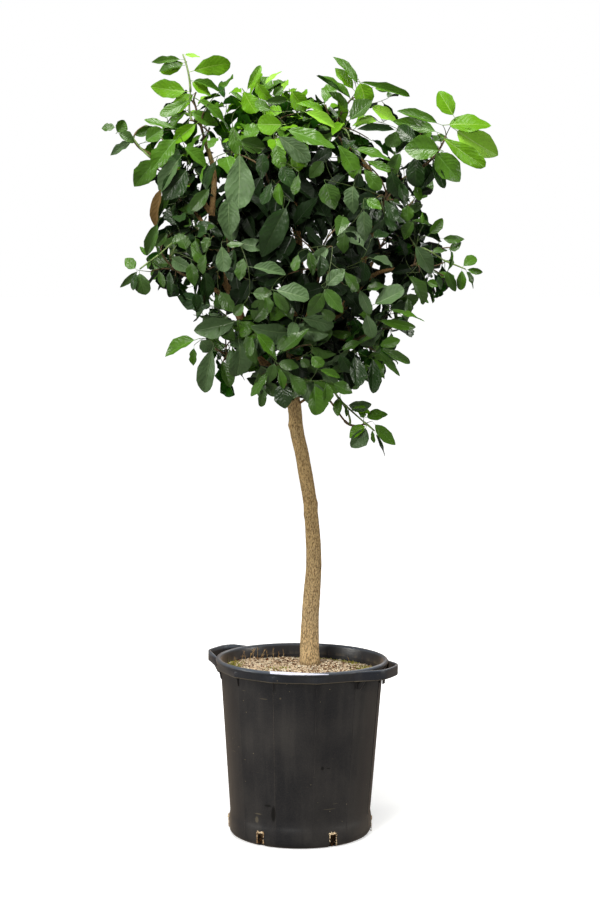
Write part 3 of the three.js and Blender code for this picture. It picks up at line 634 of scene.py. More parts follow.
class Workbench:
    """The operators and array tools that the pieces are modelled with."""

    @staticmethod
    def clear() -> None:
        """Deselects every object, in object mode."""
        if bpy.context.mode != "OBJECT":
            bpy.ops.object.mode_set(mode="OBJECT")
        bpy.ops.object.select_all(action="DESELECT")

    @staticmethod
    def only(piece: Piece) -> None:
        """Selects one object and makes it active.

        Args:
            piece: the object.
        """
        Workbench.clear()
        piece.select_set(True)
        bpy.context.view_layer.objects.active = piece

    @staticmethod
    def settle(piece: Piece) -> None:
        """Puts the object's place into its mesh."""
        Workbench.only(piece)
        bpy.ops.object.transform_apply(location=True, rotation=True, scale=True)

    @staticmethod
    def modify(piece: Piece, kind: str, **settings: object) -> None:
        """Adds a modifier and applies it.

        Args:
            piece: the object.
            kind: the modifier's type.
            settings: the modifier's properties.
        """
        Workbench.only(piece)
        modifier = piece.modifiers.new(kind.lower(), kind)
        for name, value in settings.items():
            setattr(modifier, name, value)
        bpy.ops.object.modifier_apply(modifier=modifier.name)

    @staticmethod
    def smooth(piece: Piece, degrees: float) -> None:
        """Shades a piece smooth where its faces meet at less than an angle."""
        Workbench.only(piece)
        bpy.ops.object.shade_smooth_by_angle(angle=math.radians(degrees))

    @staticmethod
    def edit(piece: Piece) -> None:
        """Opens a piece for editing, with all of it selected.

        Args:
            piece: the object.
        """
        Workbench.only(piece)
        bpy.ops.object.mode_set(mode="EDIT")
        bpy.ops.mesh.select_all(action="SELECT")

    @staticmethod
    def mend(piece: Piece) -> None:
        """Merges doubles, closes holes and turns all faces outwards.

        Args:
            piece: the object.
        """
        Workbench.edit(piece)
        bpy.ops.mesh.remove_doubles(threshold=1e-6)
        bpy.ops.mesh.fill_holes(sides=0)
        bpy.ops.mesh.select_all(action="SELECT")
        bpy.ops.mesh.normals_make_consistent(inside=False)
        bpy.ops.object.mode_set(mode="OBJECT")

    @staticmethod
    def join(pieces: list[Piece], name: str) -> Piece:
        """Joins objects into one and names it.

        Args:
            pieces: the objects to join.
            name: the name of the joined object.

        Returns:
            The joined object.
        """
        Workbench.only(pieces[0])
        for piece in pieces:
            piece.select_set(True)
        bpy.ops.object.join()
        pieces[0].name = name
        return pieces[0]

    @staticmethod
    def rings(name: str, profile: list[tuple[float, float]], sides: int) -> Piece:
        """A turned shell, made from a circle that is extruded and resized ring by ring.

        Args:
            name: the object's name.
            profile: the radius and height of each ring.
            sides: the number of corners of a ring.

        Returns:
            The new object, with the ring of profile point i in vertices i*sides to (i+1)*sides.
        """
        Workbench.clear()
        radius, height = profile[0]
        bpy.ops.mesh.primitive_circle_add(vertices=sides, radius=radius, location=(0, 0, height))
        shell = bpy.context.active_object
        shell.name = name
        Workbench.settle(shell)
        Workbench.edit(shell)
        for wider, higher in profile[1:]:
            bpy.ops.mesh.extrude_region_move(TRANSFORM_OT_translate={"value": (0.0, 0.0, higher - height)})
            share = wider / radius
            bpy.ops.transform.resize(value=(share, share, 1.0), center_override=(0.0, 0.0, higher))
            radius, height = wider, higher
        bpy.ops.object.mode_set(mode="OBJECT")
        return shell

    @staticmethod
    def block(centre: tuple, size: tuple, bevel: float = 0.0) -> Piece:
        """A box from a cube primitive, with its edges bevelled.

        Args:
            centre: the box's middle.
            size: its size along X, Y and Z.
            bevel: the width of the bevel, or 0 for none.

        Returns:
            The new object.
        """
        Workbench.clear()
        bpy.ops.mesh.primitive_cube_add(size=1.0, location=centre)
        box = bpy.context.active_object
        box.scale = size
        Workbench.settle(box)
        if bevel:
            Workbench.modify(box, "BEVEL", width=bevel, segments=2)
        return box

    @staticmethod
    def turn(piece: Piece, angle: float) -> None:
        """Turns a piece about the pot's axis and puts the turn into its mesh."""
        piece.rotation_euler = (0.0, 0.0, angle)
        Workbench.settle(piece)

    @staticmethod
    def lean(piece: Piece) -> None:
        """Leans the pot's upper part by a few millimetres, and keeps each vertex's upright place.

        Args:
            piece: the pot or a piece on it.
        """
        places = np.empty(len(piece.data.vertices) * 3, np.float32)
        piece.data.vertices.foreach_get("co", places)
        upright = piece.data.attributes.new("upright", "FLOAT_VECTOR", "POINT")
        upright.data.foreach_set("vector", places)
        x, y, z = places.reshape(-1, 3).T
        share = np.clip(z / PlantPot.height, 0, 1.1)
        leant = np.stack([x + 0.005 * share, y, z - (0.0115 * x + 0.014 * y) * share], axis=1)
        piece.data.vertices.foreach_set("co", leant.astype(np.float32).ravel())
        piece.data.update()

    @staticmethod
    def from_arrays(
        name: str, points: Array, faces: Array, looks: Array | None = None, blade_map: Array | None = None
    ) -> Piece:
        """A smooth mesh object from arrays.

        Args:
            name: the object's name.
            points: the vertices, in metres.
            faces: the corners of each quad; a repeated last corner makes a triangle.
            looks: the material slot of each face.
            blade_map: the place on the leaf's own map, one row for each vertex.

        Returns:
            The new object.
        """
        mesh = bpy.data.meshes.new(name)
        triangle = faces[:, -1] == faces[:, -2]
        keep = np.ones(faces.shape, bool)
        keep[triangle, -1] = False
        corners = faces[keep].astype(np.int32)
        starts = np.concatenate([[0], np.cumsum(np.where(triangle, 3, 4))[:-1]])
        mesh.vertices.add(len(points))
        mesh.vertices.foreach_set("co", points.astype(np.float32).ravel())
        mesh.loops.add(len(corners))
        mesh.loops.foreach_set("vertex_index", corners)
        mesh.polygons.add(len(faces))
        mesh.polygons.foreach_set("loop_start", starts.astype(np.int32))
        mesh.polygons.foreach_set("use_smooth", np.ones(len(faces), bool))
        if looks is not None:
            mesh.polygons.foreach_set("material_index", looks.astype(np.int32))
        if blade_map is not None:
            layer = mesh.uv_layers.new(name="blade")
            layer.data.foreach_set("uv", blade_map[corners].astype(np.float32).ravel())
        mesh.update(calc_edges=True)
        mesh.validate()
        piece = bpy.data.objects.new(name, mesh)
        bpy.context.scene.collection.objects.link(piece)
        return piece


def publish(
    piece: Piece, slot: str, looks: list[Material], stands_for: tuple[str, ...] = (), leans: bool = False
) -> None:
    """Dresses a finished piece and hands it to the frame.

    Args:
        piece: the finished object.
        slot: the record's material slot; not used.
        looks: the materials, in the order of the faces' slots.
        stands_for: the CAD nodes that it replaces.
        leans: whether it leans with the pot.
    """
    if leans:
        Workbench.lean(piece)
    for look in looks:
        piece.data.materials.append(look)
    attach(piece, BODY)
    if stands_for:
        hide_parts(*stands_for)
    LOG.info("%s: %d vertices, %d faces", piece.name, len(piece.data.vertices), len(piece.data.polygons))


class Joiner:
    """Gathers many small shapes into the arrays of one mesh."""

    def __init__(self) -> None:
        """Starts empty."""
        self.parts: list[tuple[Array, ...]] = []
        self.count = 0

    def add(self, points: Array, faces: Array, looks: Array | None = None, maps: Array | None = None) -> None:
        """Adds one shape.

        Args:
            points: its vertices.
            faces: its quads, counted from its own first vertex.
            looks: the material slot of each face.
            maps: the place on the leaf's own map of each vertex.
        """
        looks = np.zeros(len(faces), int) if looks is None else looks
        maps = np.zeros((len(points), 2)) if maps is None else maps
        self.parts.append((points, faces + self.count, looks, maps))
        self.count += len(points)

    def build(self, name: str) -> Piece:
        """Makes the joined mesh object, and returns it."""
        return Workbench.from_arrays(name, *(np.concatenate(part) for part in zip(*self.parts)))


def size_of(way: Array) -> float:
    """The length of a vector."""
    return float(np.linalg.norm(way))


def unit(way: Array) -> Array:
    """A vector, or each row of vectors, at length 1."""
    return way / np.maximum(np.linalg.norm(way, axis=-1, keepdims=True), 1e-12)


def square_to(heading: Array, angle: float) -> Array:
    """A unit vector square to a heading, turned about it.

    Args:
        heading: the unit heading.
        angle: the turn about it, in radians.

    Returns:
        The unit vector.
    """
    across = np.array([0.0, 1.0, 0.0]) if abs(heading[0]) > 0.9 else np.array([1.0, 0.0, 0.0])
    across = unit(across - heading * across.dot(heading))
    return across * math.cos(angle) + np.cross(heading, across) * math.sin(angle)


def tube(line: Array, girths: Array, sides: int) -> tuple[Array, Array]:
    """A closed tube round a line.

    Args:
        line: the centre line's points.
        girths: the radius at each point.
        sides: the number of corners of a ring.

    Returns:
        The vertices, and the faces as quads whose caps are fans of quads with a repeated corner.
    """
    headings = unit(np.gradient(line, axis=0))
    across = square_to(headings[0], 0.0)
    angles = np.arange(sides) * FULL_TURN / sides
    rings = []
    for point, girth, heading in zip(line, girths, headings):
        across = unit(across - heading * across.dot(heading))
        ring = np.cos(angles)[:, None] * across + np.sin(angles)[:, None] * np.cross(heading, across)
        rings.append(point + girth * ring)
    points = np.concatenate([*rings, line[:1], line[-1:]])
    side = np.arange(sides)
    after = (side + 1) % sides
    last, ends = (len(line) - 1) * sides, len(line) * sides
    band = np.stack([side, after, sides + after, sides + side], axis=1)
    faces = [band + start for start in range(0, last, sides)]
    faces.append(np.stack([after, side, *[np.full(sides, ends)] * 2], axis=1))
    faces.append(np.stack([last + side, last + after, *[np.full(sides, ends + 1)] * 2], axis=1))
    return points, np.concatenate(faces)


# The pot and what is on it


@dataclass
class PlantPot:
    """The nursery pot: a tapered shell with faint panels, a rounded foot, a beaded rim and drain slots."""

    height: float = 0.436
    rim: float = 0.212
    base: float = 0.1755
    wall_top: float = 0.201
    wall: float = 0.003
    floor: float = 0.004
    skirt_foot: float = 0.409
    bead: float = 0.0065
    panels: int = 12
    panel_turn: float = math.radians(10)
    step: float = 0.0013
    slots: int = 6
    slot_first: float = math.radians(-33)
    slot_size: tuple[float, float] = (0.0180, 0.036)
    within: tuple = (0, 0.3, 0.7, 1.4, 3, 5.5, 8, 10.5, 13, 15.5, 18, 20.5, 23, 25.5, 27.6, 28.9, 29.5, 29.8)

    def wall_radius(self, height: float) -> float:
        """The wall's outer radius at a height."""
        share = (height - 0.050) / (self.skirt_foot - 0.050)
        return self.base - 0.0013 + share * (self.wall_top - self.base + 0.0013)

    def slot_turns(self) -> list[float]:
        """The turn of each drain slot about the pot's axis."""
        return [self.slot_first + index * FULL_TURN / self.slots for index in range(self.slots)]

    def profile(self) -> list[tuple[float, float, float, float]]:
        """The rings of the shell, from the floor's underside round the bead to the floor's top.

        Returns:
            Each ring's radius, height, flatness of the panels and share of the step between them.
        """
        rim, foot, inner = self.rim, self.skirt_foot, self.base - self.wall - 0.005
        bead_height, bead_centre = self.height - self.bead, self.rim - self.bead
        rows = [
            (0.030, 0.0, 0, 0), (0.110, 0.0, 0, 0), (0.1575, 0.0, 0, 0), (0.1650, 0.0008, 0, 0),
            (0.1705, 0.0038, 0, 0), (0.1737, 0.0086, 0, 0), (0.1752, 0.0145, 0, 0), (0.1758, 0.0240, 0, 0.1),
            (0.1760, 0.0340, 0, 0.2), (0.1759, 0.0420, 0, 0.3), (0.1753, 0.0480, 0.1, 0.3),
            (self.wall_radius(0.056), 0.056, 0.25, 0.35),
        ]
        for height in np.arange(0.076, 0.400, 0.020):
            step = 0.35 + 0.65 * (height - 0.056) / 0.345
            rows.append((self.wall_radius(height), float(height), 0.25, step))
        rows += [
            (self.wall_top, foot, 0.25, 1.0), (self.wall_top + 0.0008, bead_height - 0.009, 0, 0),
            (rim - 0.0055, bead_height - 0.009, 0.3, 0), (rim - 0.0036, foot + 0.0008, 1, 0),
            (rim - 0.0030, foot, 1, 0), (rim - 0.0008, foot, 1, 0), (rim - 0.0003, foot + 0.0010, 1, 0),
            (rim - 0.0004, foot + 0.0080, 0.62, 0), (rim - 0.0008, foot + 0.0150, 0.2, 0),
        ]
        for angle in map(math.radians, range(-40, 200, 20)):
            out, up = self.bead * math.cos(angle), self.bead * math.sin(angle)
            rows.append((bead_centre + out, bead_height + up, 0, 0))
        rows += [(rim - 0.0145, foot + 0.012, 0, 0), (self.wall_top - self.wall, foot, 0.25, 0.5)]
        for height, step in ((0.300, 0.5), (0.180, 0.5), (0.056, 0.3)):
            rows.append((self.wall_radius(height) - self.wall, height, 0.25, step))
        return rows + [(radius, self.floor, 0, 0) for radius in (inner, 0.110, 0.030)]

    def shape(self, shell: Piece, rows: list[tuple[float, float, float, float]]) -> None:
        """Moves the shell's vertices out to the flat panels and the steps between them.

        Args:
            shell: the shell, ring by ring.
            rows: the rings' radius, height, flatness and share of the step.
        """
        width = FULL_TURN / self.panels
        corners = self.panel_turn + np.arange(self.panels) * width
        angles = (corners[:, None] + np.radians(self.within)[None, :]).ravel()
        within = np.tile(np.radians(self.within), self.panels)
        flat = math.cos(width / 2) / np.cos(within - width / 2)
        ramp = np.clip(within / width, 0, 1)
        slow = np.sin(angles * 2 + 0.7) * 0.0004
        places = []
        for radius, height, flatness, step in rows:
            out = radius * (1 - flatness * (1 - flat)) + (self.step * (0.5 - ramp) + slow) * step
            level = np.full(len(out), height)
            places.append(np.stack([out * np.sin(angles), -out * np.cos(angles), level], axis=1))
        shell.data.vertices.foreach_set("co", np.concatenate(places).astype(np.float32).ravel())
        shell.data.update()

    def slot_cutters(self) -> Piece:
        """Models the joined boxes that cut the drain slots, with torn, slightly uneven corners.

        Returns:
            The cutters.
        """
        cutters = []
        width, height = self.slot_size
        for index, turn in enumerate(self.slot_turns()):
            box = Workbench.block((0, -self.base, 0), (width, 0.030, 2 * height))
            rng = np.random.default_rng(40 + index)
            for vertex in box.data.vertices:
                vertex.co.x += float(rng.uniform(-0.0012, 0.0012))
                vertex.co.z += float(rng.uniform(-0.0016, 0.0016))
            Workbench.turn(box, turn)
            cutters.append(box)
        return Workbench.join(cutters, "slot_cutters")

    def fins(self) -> Piece:
        """Models the small stiffening fins under the skirt, at the corners of the panels.

        Returns:
            The fins.
        """
        fins = []
        for index in range(1, self.panels):
            fin = Workbench.block((0, -self.wall_top - 0.0012, 0.399), (0.0026, 0.0095, 0.024), 0.0006)
            for vertex in fin.data.vertices:
                if vertex.co.z < 0.398 and vertex.co.y < -self.wall_top:
                    vertex.co.y += 0.0048
            Workbench.turn(fin, self.panel_turn + (index + 0.01) * FULL_TURN / self.panels)
            fins.append(fin)
        return Workbench.join(fins, "rim_fins")

    def build(self, plastic: Material) -> None:
        """Models the pot and its fins.

        Args:
            plastic: the pot's material.
        """
        rows = self.profile()
        shell = Workbench.rings("pot_shell", [row[:2] for row in rows], self.panels * len(self.within))
        self.shape(shell, rows)
        Workbench.mend(shell)
        cutters = self.slot_cutters()
        Workbench.modify(shell, "BOOLEAN", object=cutters, operation="DIFFERENCE", solver="EXACT")
        bpy.data.objects.remove(cutters)
        for piece, nodes in ((shell, ("pot",)), (self.fins(), ())):
            Workbench.smooth(piece, 30)
            publish(piece, "pot_plastic", [plastic], nodes, True)


@dataclass
class SlotDebris:
    """What shows at the drain slots: torn pale edges, and bits of root and mix inside."""

    pot: PlantPot
    shards: int = 38
    crumbs: int = 34

    def build(self, torn: Material, root: Material) -> None:
        """Models the torn edges and the crumbs of all the slots.

        Args:
            torn: the material of the torn edges.
            root: the material of the bits inside.
        """
        rng = np.random.default_rng(71)
        edges, inside = Joiner(), Joiner()
        width, height = self.pot.slot_size
        for turn in self.pot.slot_turns():
            cos, sin = math.cos(turn), math.sin(turn)
            basis = np.array([[cos, sin, 0], [-sin, cos, 0], [0, 0, 1]])
            for joiner in [edges] * self.shards + [inside] * self.crumbs:
                if joiner is edges:
                    top = rng.random() < 0.5
                    x = rng.uniform(-1, 1)
                    x = x * width / 2 if top else math.copysign(width / 2, x)
                    z = height + rng.normal(0, 0.0012) if top else rng.uniform(0.006, height)
                    size = rng.uniform(0.0010, 0.0027, 3) * ((1.7, 0.7, 1.2) if top else (0.9, 0.7, 1.5))
                    y = -self.pot.base - 0.0006
                else:
                    x, z = rng.uniform(-0.42, 0.42) * width, rng.uniform(0.003, height - 0.002)
                    size = rng.uniform(0.0012, 0.0034, 3)
                    y = -self.pot.base + rng.uniform(0.004, 0.010)
                points, faces = Grit.pebble(rng, size)
                joiner.add((points + (x, y, z)) @ basis, faces)
        publish(edges.build("slot_torn_edges"), "pot_plastic", [torn])
        publish(inside.build("slot_crumbs"), "soil", [root])


@dataclass
class CarryHandle:
    """A carrying handle: a flat band whose legs spread towards the rim, with a gusset under each end."""

    name: str
    turn: float
    top: float
    reach: float = 0.243
    half: float = 0.048
    spread: float = 0.85
    band: float = 0.0055
    height: float = 0.025
    corner: float = 0.048
    root: float = 0.186

    def band_loop(self) -> Piece:
        """Models the bent band: a strip's end that is extruded and spun from one root to the other.

        Returns:
            The band.
        """
        slope, heading = math.hypot(1, self.spread), math.atan(self.spread)
        middle = self.top - self.height / 2
        out, corner = self.reach - self.band / 2, self.corner - self.band / 2
        half = self.half - self.band / 2 * (slope - self.spread)
        bend = (out - corner, half - corner * (slope - self.spread))
        end = (self.root, -half - (out - self.root) * self.spread)
        leg = (bend[0] + corner * self.spread / slope - end[0], -bend[1] - corner / slope - end[1], 0)
        Workbench.clear()
        bpy.ops.mesh.primitive_plane_add(size=1, location=(*end, middle), rotation=(0, math.pi / 2, heading))
        loop = bpy.context.active_object
        loop.scale = (self.height, self.band, 1)
        Workbench.settle(loop)
        Workbench.edit(loop)
        turn = {"steps": 7, "angle": heading - math.pi / 2, "axis": (0, 0, 1)}
        extrude = bpy.ops.mesh.extrude_region_move
        extrude(TRANSFORM_OT_translate={"value": leg})
        bpy.ops.mesh.spin(center=(bend[0], -bend[1], middle), **turn)
        for _ in range(4):
            extrude(TRANSFORM_OT_translate={"value": (0, bend[1] / 2, 0)})
        bpy.ops.mesh.spin(center=(*bend, middle), **turn)
        extrude(TRANSFORM_OT_translate={"value": (-leg[0], leg[1], 0)})
        bpy.ops.object.mode_set(mode="OBJECT")
        Workbench.mend(loop)
        for vertex in loop.data.vertices:
            if vertex.co.x > bend[0]:
                vertex.co.x += 0.0022 * (math.cos(vertex.co.y / self.half * math.pi / 2) - 0.4)
            vertex.co.z -= max(0.0, 0.203 - vertex.co.x) / 0.017 * (self.top - 0.432)
        limits = {"limit_method": "ANGLE", "angle_limit": math.radians(50)}
        Workbench.modify(loop, "BEVEL", width=0.0018, segments=3, **limits)
        return loop

    def build(self, plastic: Material) -> None:
        """Models the handle and turns it to its place.

        Args:
            plastic: the handle's material.
        """
        parts = [self.band_loop()]
        low = self.top - self.height
        for end in (-1, 1):
            gusset = Workbench.block((0.197, end * 0.075, low - 0.0095), (0.024, 0.0028, 0.025))
            for vertex in gusset.data.vertices:
                if vertex.co.z < low - 0.010 and vertex.co.x > 0.197:
                    vertex.co.x -= 0.015
            Workbench.modify(gusset, "BEVEL", width=0.0005, segments=2)
            parts.append(gusset)
        peg = (self.reach - 0.006, -self.half + 0.012, low - 0.004)
        parts.append(Workbench.block(peg, (0.0030, 0.012, 0.012), 0.0006))
        whole = Workbench.join(parts, self.name + "_loop")
        Workbench.turn(whole, self.turn)
        Workbench.smooth(whole, 40)
        publish(whole, "pot_plastic", [plastic], (self.name,), True)


@dataclass
class RimLabel:
    """The blank strip that lies over the bead at the front, with tapered ends."""

    pot: PlantPot
    length: float = 0.141
    turn: float = math.radians(-2.4)
    start: float = math.radians(16)
    stop: float = math.radians(108)

    def build(self, paper: Material) -> None:
        """Models the strip from a grid bent over the bead, and gives it a thickness.

        Args:
            paper: the strip's material.
        """
        Workbench.clear()
        bpy.ops.mesh.primitive_grid_add(x_subdivisions=60, y_subdivisions=10, size=1)
        strip = bpy.context.active_object
        strip.name = "rim_label"
        centre = self.pot.rim - self.pot.bead
        for vertex in strip.data.vertices:
            along, across = vertex.co.x * 2, vertex.co.y + 0.5
            taper = 1 - 0.86 * ((along + 1) / 2) ** 1.2
            along += (1 - across) * 0.06 * (1 - along) / 2
            angle = self.start + across * (self.stop - self.start) * taper
            out = self.pot.bead + 0.0006 + 0.0002 * math.sin(along * 9)
            turn = self.turn + along / 2 * self.length / centre
            radius = centre + out * math.cos(angle)
            height = self.pot.height - self.pot.bead + out * math.sin(angle)
            vertex.co = Vector((radius * math.sin(turn), -radius * math.cos(turn), height))
        Workbench.modify(strip, "SOLIDIFY", thickness=0.0004, offset=1.0)
        Workbench.mend(strip)
        Workbench.smooth(strip, 40)
        publish(strip, "label", [paper], ("label",), True)


# The soil and what lies on it


@dataclass
class Ground:
    """The height of the soil: flat round the trunk, then falling to the wall, a little higher on the left."""

    top: float = 0.413
    drop: float = 0.008
    lean: float = 0.005
    back: float = 0.007
    flat: float = 0.078
    edge: float = 0.1915
    rim: float = 0.212
    reach: float = 0.1945

    def height(self, x: float, y: float) -> float:
        """The height of the soil at a place.

        Args:
            x: the place to the right.
            y: the place to the back.

        Returns:
            The height.
        """
        share = min(max((math.hypot(x, y) - self.flat) / (self.edge - self.flat), 0.0), 1.0)
        fall = share * share * (3 - 2 * share)
        back = max(y, 0.0) / self.rim * self.back
        lumps = noise.noise(Vector((x * 38, y * 38, 4.0))) * 0.0016
        lumps += noise.noise(Vector((x * 120, y * 120, 1.0))) * 0.0008
        return self.top - (self.drop + x / self.rim * self.lean + back) * fall + lumps


@dataclass
class SoilBody:
    """The soil: a closed body that fills the pot, with a lumpy domed top."""

    pot: PlantPot
    ground: Ground
    sides: int = 120
    floor: float = 0.0045
    gap: float = 0.0016
    edge: tuple = (0.1962, 0.1952, 0.192, 0.187, 0.181, 0.173, 0.164, 0.154, 0.144, 0.133, 0.121)
    middle: tuple = (0.109, 0.097, 0.085, 0.073, 0.061, 0.049, 0.037, 0.025, 0.013, 0.004)

    def build(self, earth: Material) -> None:
        """Models the body.

        Args:
            earth: the soil's material.
        """
        low = [(0.05, self.floor), (0.150, self.floor)]
        for height in (0.056, 0.15, 0.25, 0.35, 0.392):
            low.append((self.pot.wall_radius(height) - self.pot.wall - self.gap, height))
        top = [(radius, 0.39 + 0.001 * i) for i, radius in enumerate(self.edge + self.middle)]
        body = Workbench.rings("soil_body", low + top, self.sides)
        for vertex in list(body.data.vertices)[len(low) * self.sides :]:
            vertex.co.z = self.ground.height(vertex.co.x, vertex.co.y)
        Workbench.mend(body)
        Workbench.smooth(body, 60)
        publish(body, "soil", [earth], ("soil",), True)


@dataclass
class Grit:
    """The loose granules on the soil, in a few colours."""

    ground: Ground
    count: int = 9400

    @staticmethod
    def pebble(rng: np.random.Generator, size: Array) -> tuple[Array, Array]:
        """One small uneven lump with five corners round and one at each pole, turned at random.

        Args:
            rng: the random numbers.
            size: its reach along the three axes.

        Returns:
            Its vertices and its faces.
        """
        side = np.arange(5)
        angles = side * FULL_TURN / 5
        ring = np.stack([np.cos(angles), np.sin(angles), np.zeros(5)], axis=1)
        poles = [[0, 0, 0.95], [0, 0, -0.95]]
        points = np.concatenate([ring + (0, 0, 0.35), ring * 0.85 - (0, 0, 0.4), poles])
        points = points * (1 + rng.uniform(-0.22, 0.22, (12, 1))) * size
        turn, lean = rng.uniform(0, FULL_TURN), rng.uniform(-0.5, 0.5)
        (cos, sin), (up, down) = ((math.cos(angle), math.sin(angle)) for angle in (turn, lean))
        points = points @ np.array([[1, 0, 0], [0, up, down], [0, -down, up]])
        points = points @ np.array([[cos, sin, 0], [-sin, cos, 0], [0, 0, 1]])
        after = (side + 1) % 5
        band = np.stack([side + 5, after + 5, after, side], axis=1)
        cap = np.stack([side, after, np.full(5, 10), np.full(5, 10)], axis=1)
        base = np.stack([after + 5, side + 5, np.full(5, 11), np.full(5, 11)], axis=1)
        return points, np.concatenate([band, cap, base])

    def build(self, looks: dict[str, tuple[float, Material]]) -> None:
        """Strews the granules.

        Args:
            looks: each kind's name with its share and its material.
        """
        rng = np.random.default_rng(5)
        names = list(looks)
        shares = np.array([looks[name][0] for name in names])
        joiners = {name: Joiner() for name in names}
        for _ in range(self.count):
            radius = self.ground.reach * math.sqrt(rng.random())
            angle = rng.uniform(0, FULL_TURN)
            x, y = radius * math.cos(angle), radius * math.sin(angle)
            size = rng.uniform(0.0009, 0.0027) * (1.0 + 1.0 * rng.random() ** 3)
            size = size * rng.uniform(0.6, 1.3, 3) * (1, 1, 0.7)
            points, faces = self.pebble(rng, size)
            lift = size[2] * rng.uniform(-0.1, 0.9)
            kind = names[int(rng.choice(len(names), p=shares / shares.sum()))]
            joiners[kind].add(points + (x, y, self.ground.height(x, y) + lift), faces)
        for name in names:
            publish(joiners[name].build("grit_" + name), "soil", [looks[name][1]], (), True)


@dataclass
class GroundGrowth:
    """Moss in patches on the soil, each a centre, a reach and a count, and a few dry stems."""

    ground: Ground
    patches: tuple = (
        ((-0.020, -0.150), (0.030, 0.016), 200), ((0.164, 0.000), (0.030, 0.060), 520),
        ((-0.170, 0.020), (0.020, 0.060), 380), ((-0.100, -0.100), (0.040, 0.024), 160),
        ((0.098, -0.108), (0.030, 0.022), 150), ((0.050, 0.150), (0.050, 0.026), 240),
        ((0.120, 0.110), (0.030, 0.030), 160), ((-0.060, -0.040), (0.030, 0.020), 50),
    )
    stems: tuple = (
        (-0.150, 0.062, 0.020), (-0.132, 0.088, 0.026), (-0.122, 0.096, 0.030), (-0.133, 0.076, 0.018),
        (-0.105, 0.108, 0.022), (-0.086, 0.124, 0.020), (-0.070, 0.138, 0.022), (-0.058, 0.142, 0.016),
        (-0.165, 0.030, 0.016), (-0.114, 0.120, 0.026), (-0.096, 0.090, 0.014), (-0.142, 0.110, 0.022),
        (0.120, 0.110, 0.014), (0.165, 0.020, 0.012), (-0.045, 0.160, 0.018), (-0.128, 0.060, 0.016),
    )

    def moss(self, look: Material) -> None:
        """Grows the moss as tufts of narrow blades.

        Args:
            look: the moss's material.
        """
        rng = np.random.default_rng(11)
        joiner = Joiner()
        for (cx, cy), (rx, ry), count in self.patches:
            for _ in range(count):
                x, y = cx + rng.normal(0, 0.5) * rx, cy + rng.normal(0, 0.5) * ry
                if math.hypot(x, y) > self.ground.reach:
                    continue
                foot = np.array([x, y, self.ground.height(x, y) + 0.001])
                way = unit(np.array([rng.normal(0, 0.6), rng.normal(0, 0.6), 1.0]))
                length = rng.uniform(0.003, 0.0075)
                side = square_to(way, rng.uniform(0, math.pi)) * rng.uniform(0.0008, 0.0018)
                middle = foot + way * length * 0.5 + square_to(way, rng.uniform(0, 6)) * 0.0006
                low, tip = side * 0.6, foot + way * length
                corners = np.stack([foot - low, foot + low, middle + side, middle - side, tip])
                joiner.add(corners, np.array([[0, 1, 2, 3], [3, 2, 4, 4]]))
        publish(joiner.build("moss_tufts"), "soil", [look], (), True)

    def dry_stems(self, look: Material) -> None:
        """Grows the dry stems, each a thin bent tube with side sprigs.

        Args:
            look: the stems' material.
        """
        rng = np.random.default_rng(12)
        joiner = Joiner()
        shares = np.linspace(0, 1, 6)[:, None]
        for x, y, length in self.stems:
            foot = np.array([x, y, self.ground.height(x, y)])
            lean = np.array([rng.normal(0, 0.22), rng.normal(0, 0.22), 1.0])
            curl = np.array([rng.normal(0, 0.25), rng.normal(0, 0.25), 0.0])
            line = foot + (lean * shares + curl * shares**2) * length * 1.3
            joiner.add(*tube(line, np.linspace(0.0006, 0.0003, 6), 4))
            for _ in range(2):
                start = line[rng.integers(2, 5)]
                way = unit(np.array([rng.normal(0, 1), rng.normal(0, 1), rng.uniform(0.4, 1.4)]))
                sprig = start + way * np.linspace(0, length * rng.uniform(0.18, 0.34), 3)[:, None]
                joiner.add(*tube(sprig, np.array([0.0005, 0.0004, 0.0002]), 4))
        publish(joiner.build("dry_stems"), "soil", [look], (), True)


# The tree's limbs


class Course:
    """A smooth centre line through points: a centripetal Catmull-Rom curve, read by share of its length."""

    def __init__(self, points: Array, density: int = 60) -> None:
        """Samples the curve.

        Args:
            points: the points that it passes.
            density: the samples for each stretch between two points.
        """
        points = np.asarray(points, float)
        knots = np.concatenate([[2 * points[0] - points[1]], points, [2 * points[-1] - points[-2]]])
        samples = [self.stretch(knots[i - 1 : i + 3], density) for i in range(1, len(knots) - 2)]
        self.dense = np.concatenate([*samples, points[-1:]])
        steps = np.linalg.norm(np.diff(self.dense, axis=0), axis=1)
        self.lengths = np.concatenate([[0], np.cumsum(steps)])
        self.length = float(self.lengths[-1])

    @staticmethod
    def stretch(four: Array, density: int) -> Array:
        """Samples the stretch between the middle two of four points, without its end.

        Args:
            four: the four points.
            density: the number of samples.

        Returns:
            The sampled points.
        """
        first, second, third = np.maximum(np.sum(np.diff(four, axis=0) ** 2, axis=1) ** 0.25, 1e-4)
        a, b, c, d = four
        start = ((b - a) / first - (c - a) / (first + second) + (c - b) / second) * second
        end = ((c - b) / second - (d - b) / (second + third) + (d - c) / third) * second
        t = np.linspace(0, 1, density, endpoint=False)[:, None]
        square = -3 * b + 3 * c - 2 * start - end
        cube = 2 * b - 2 * c + start + end
        return b + start * t + square * t**2 + cube * t**3

    def at(self, share: float) -> Array:
        """The point at a share of the length."""
        where = share * self.length
        return np.array([np.interp(where, self.lengths, self.dense[:, axis]) for axis in range(3)])

    def heading(self, share: float) -> Array:
        """The unit heading at a share of the length."""
        return unit(self.at(min(share + 0.004, 1.0)) - self.at(max(share - 0.004, 0.0)))

    def spaced(self, steps: int) -> Array:
        """Evenly spaced points, one more than the steps."""
        return np.stack([self.at(share) for share in np.linspace(0, 1, steps + 1)])


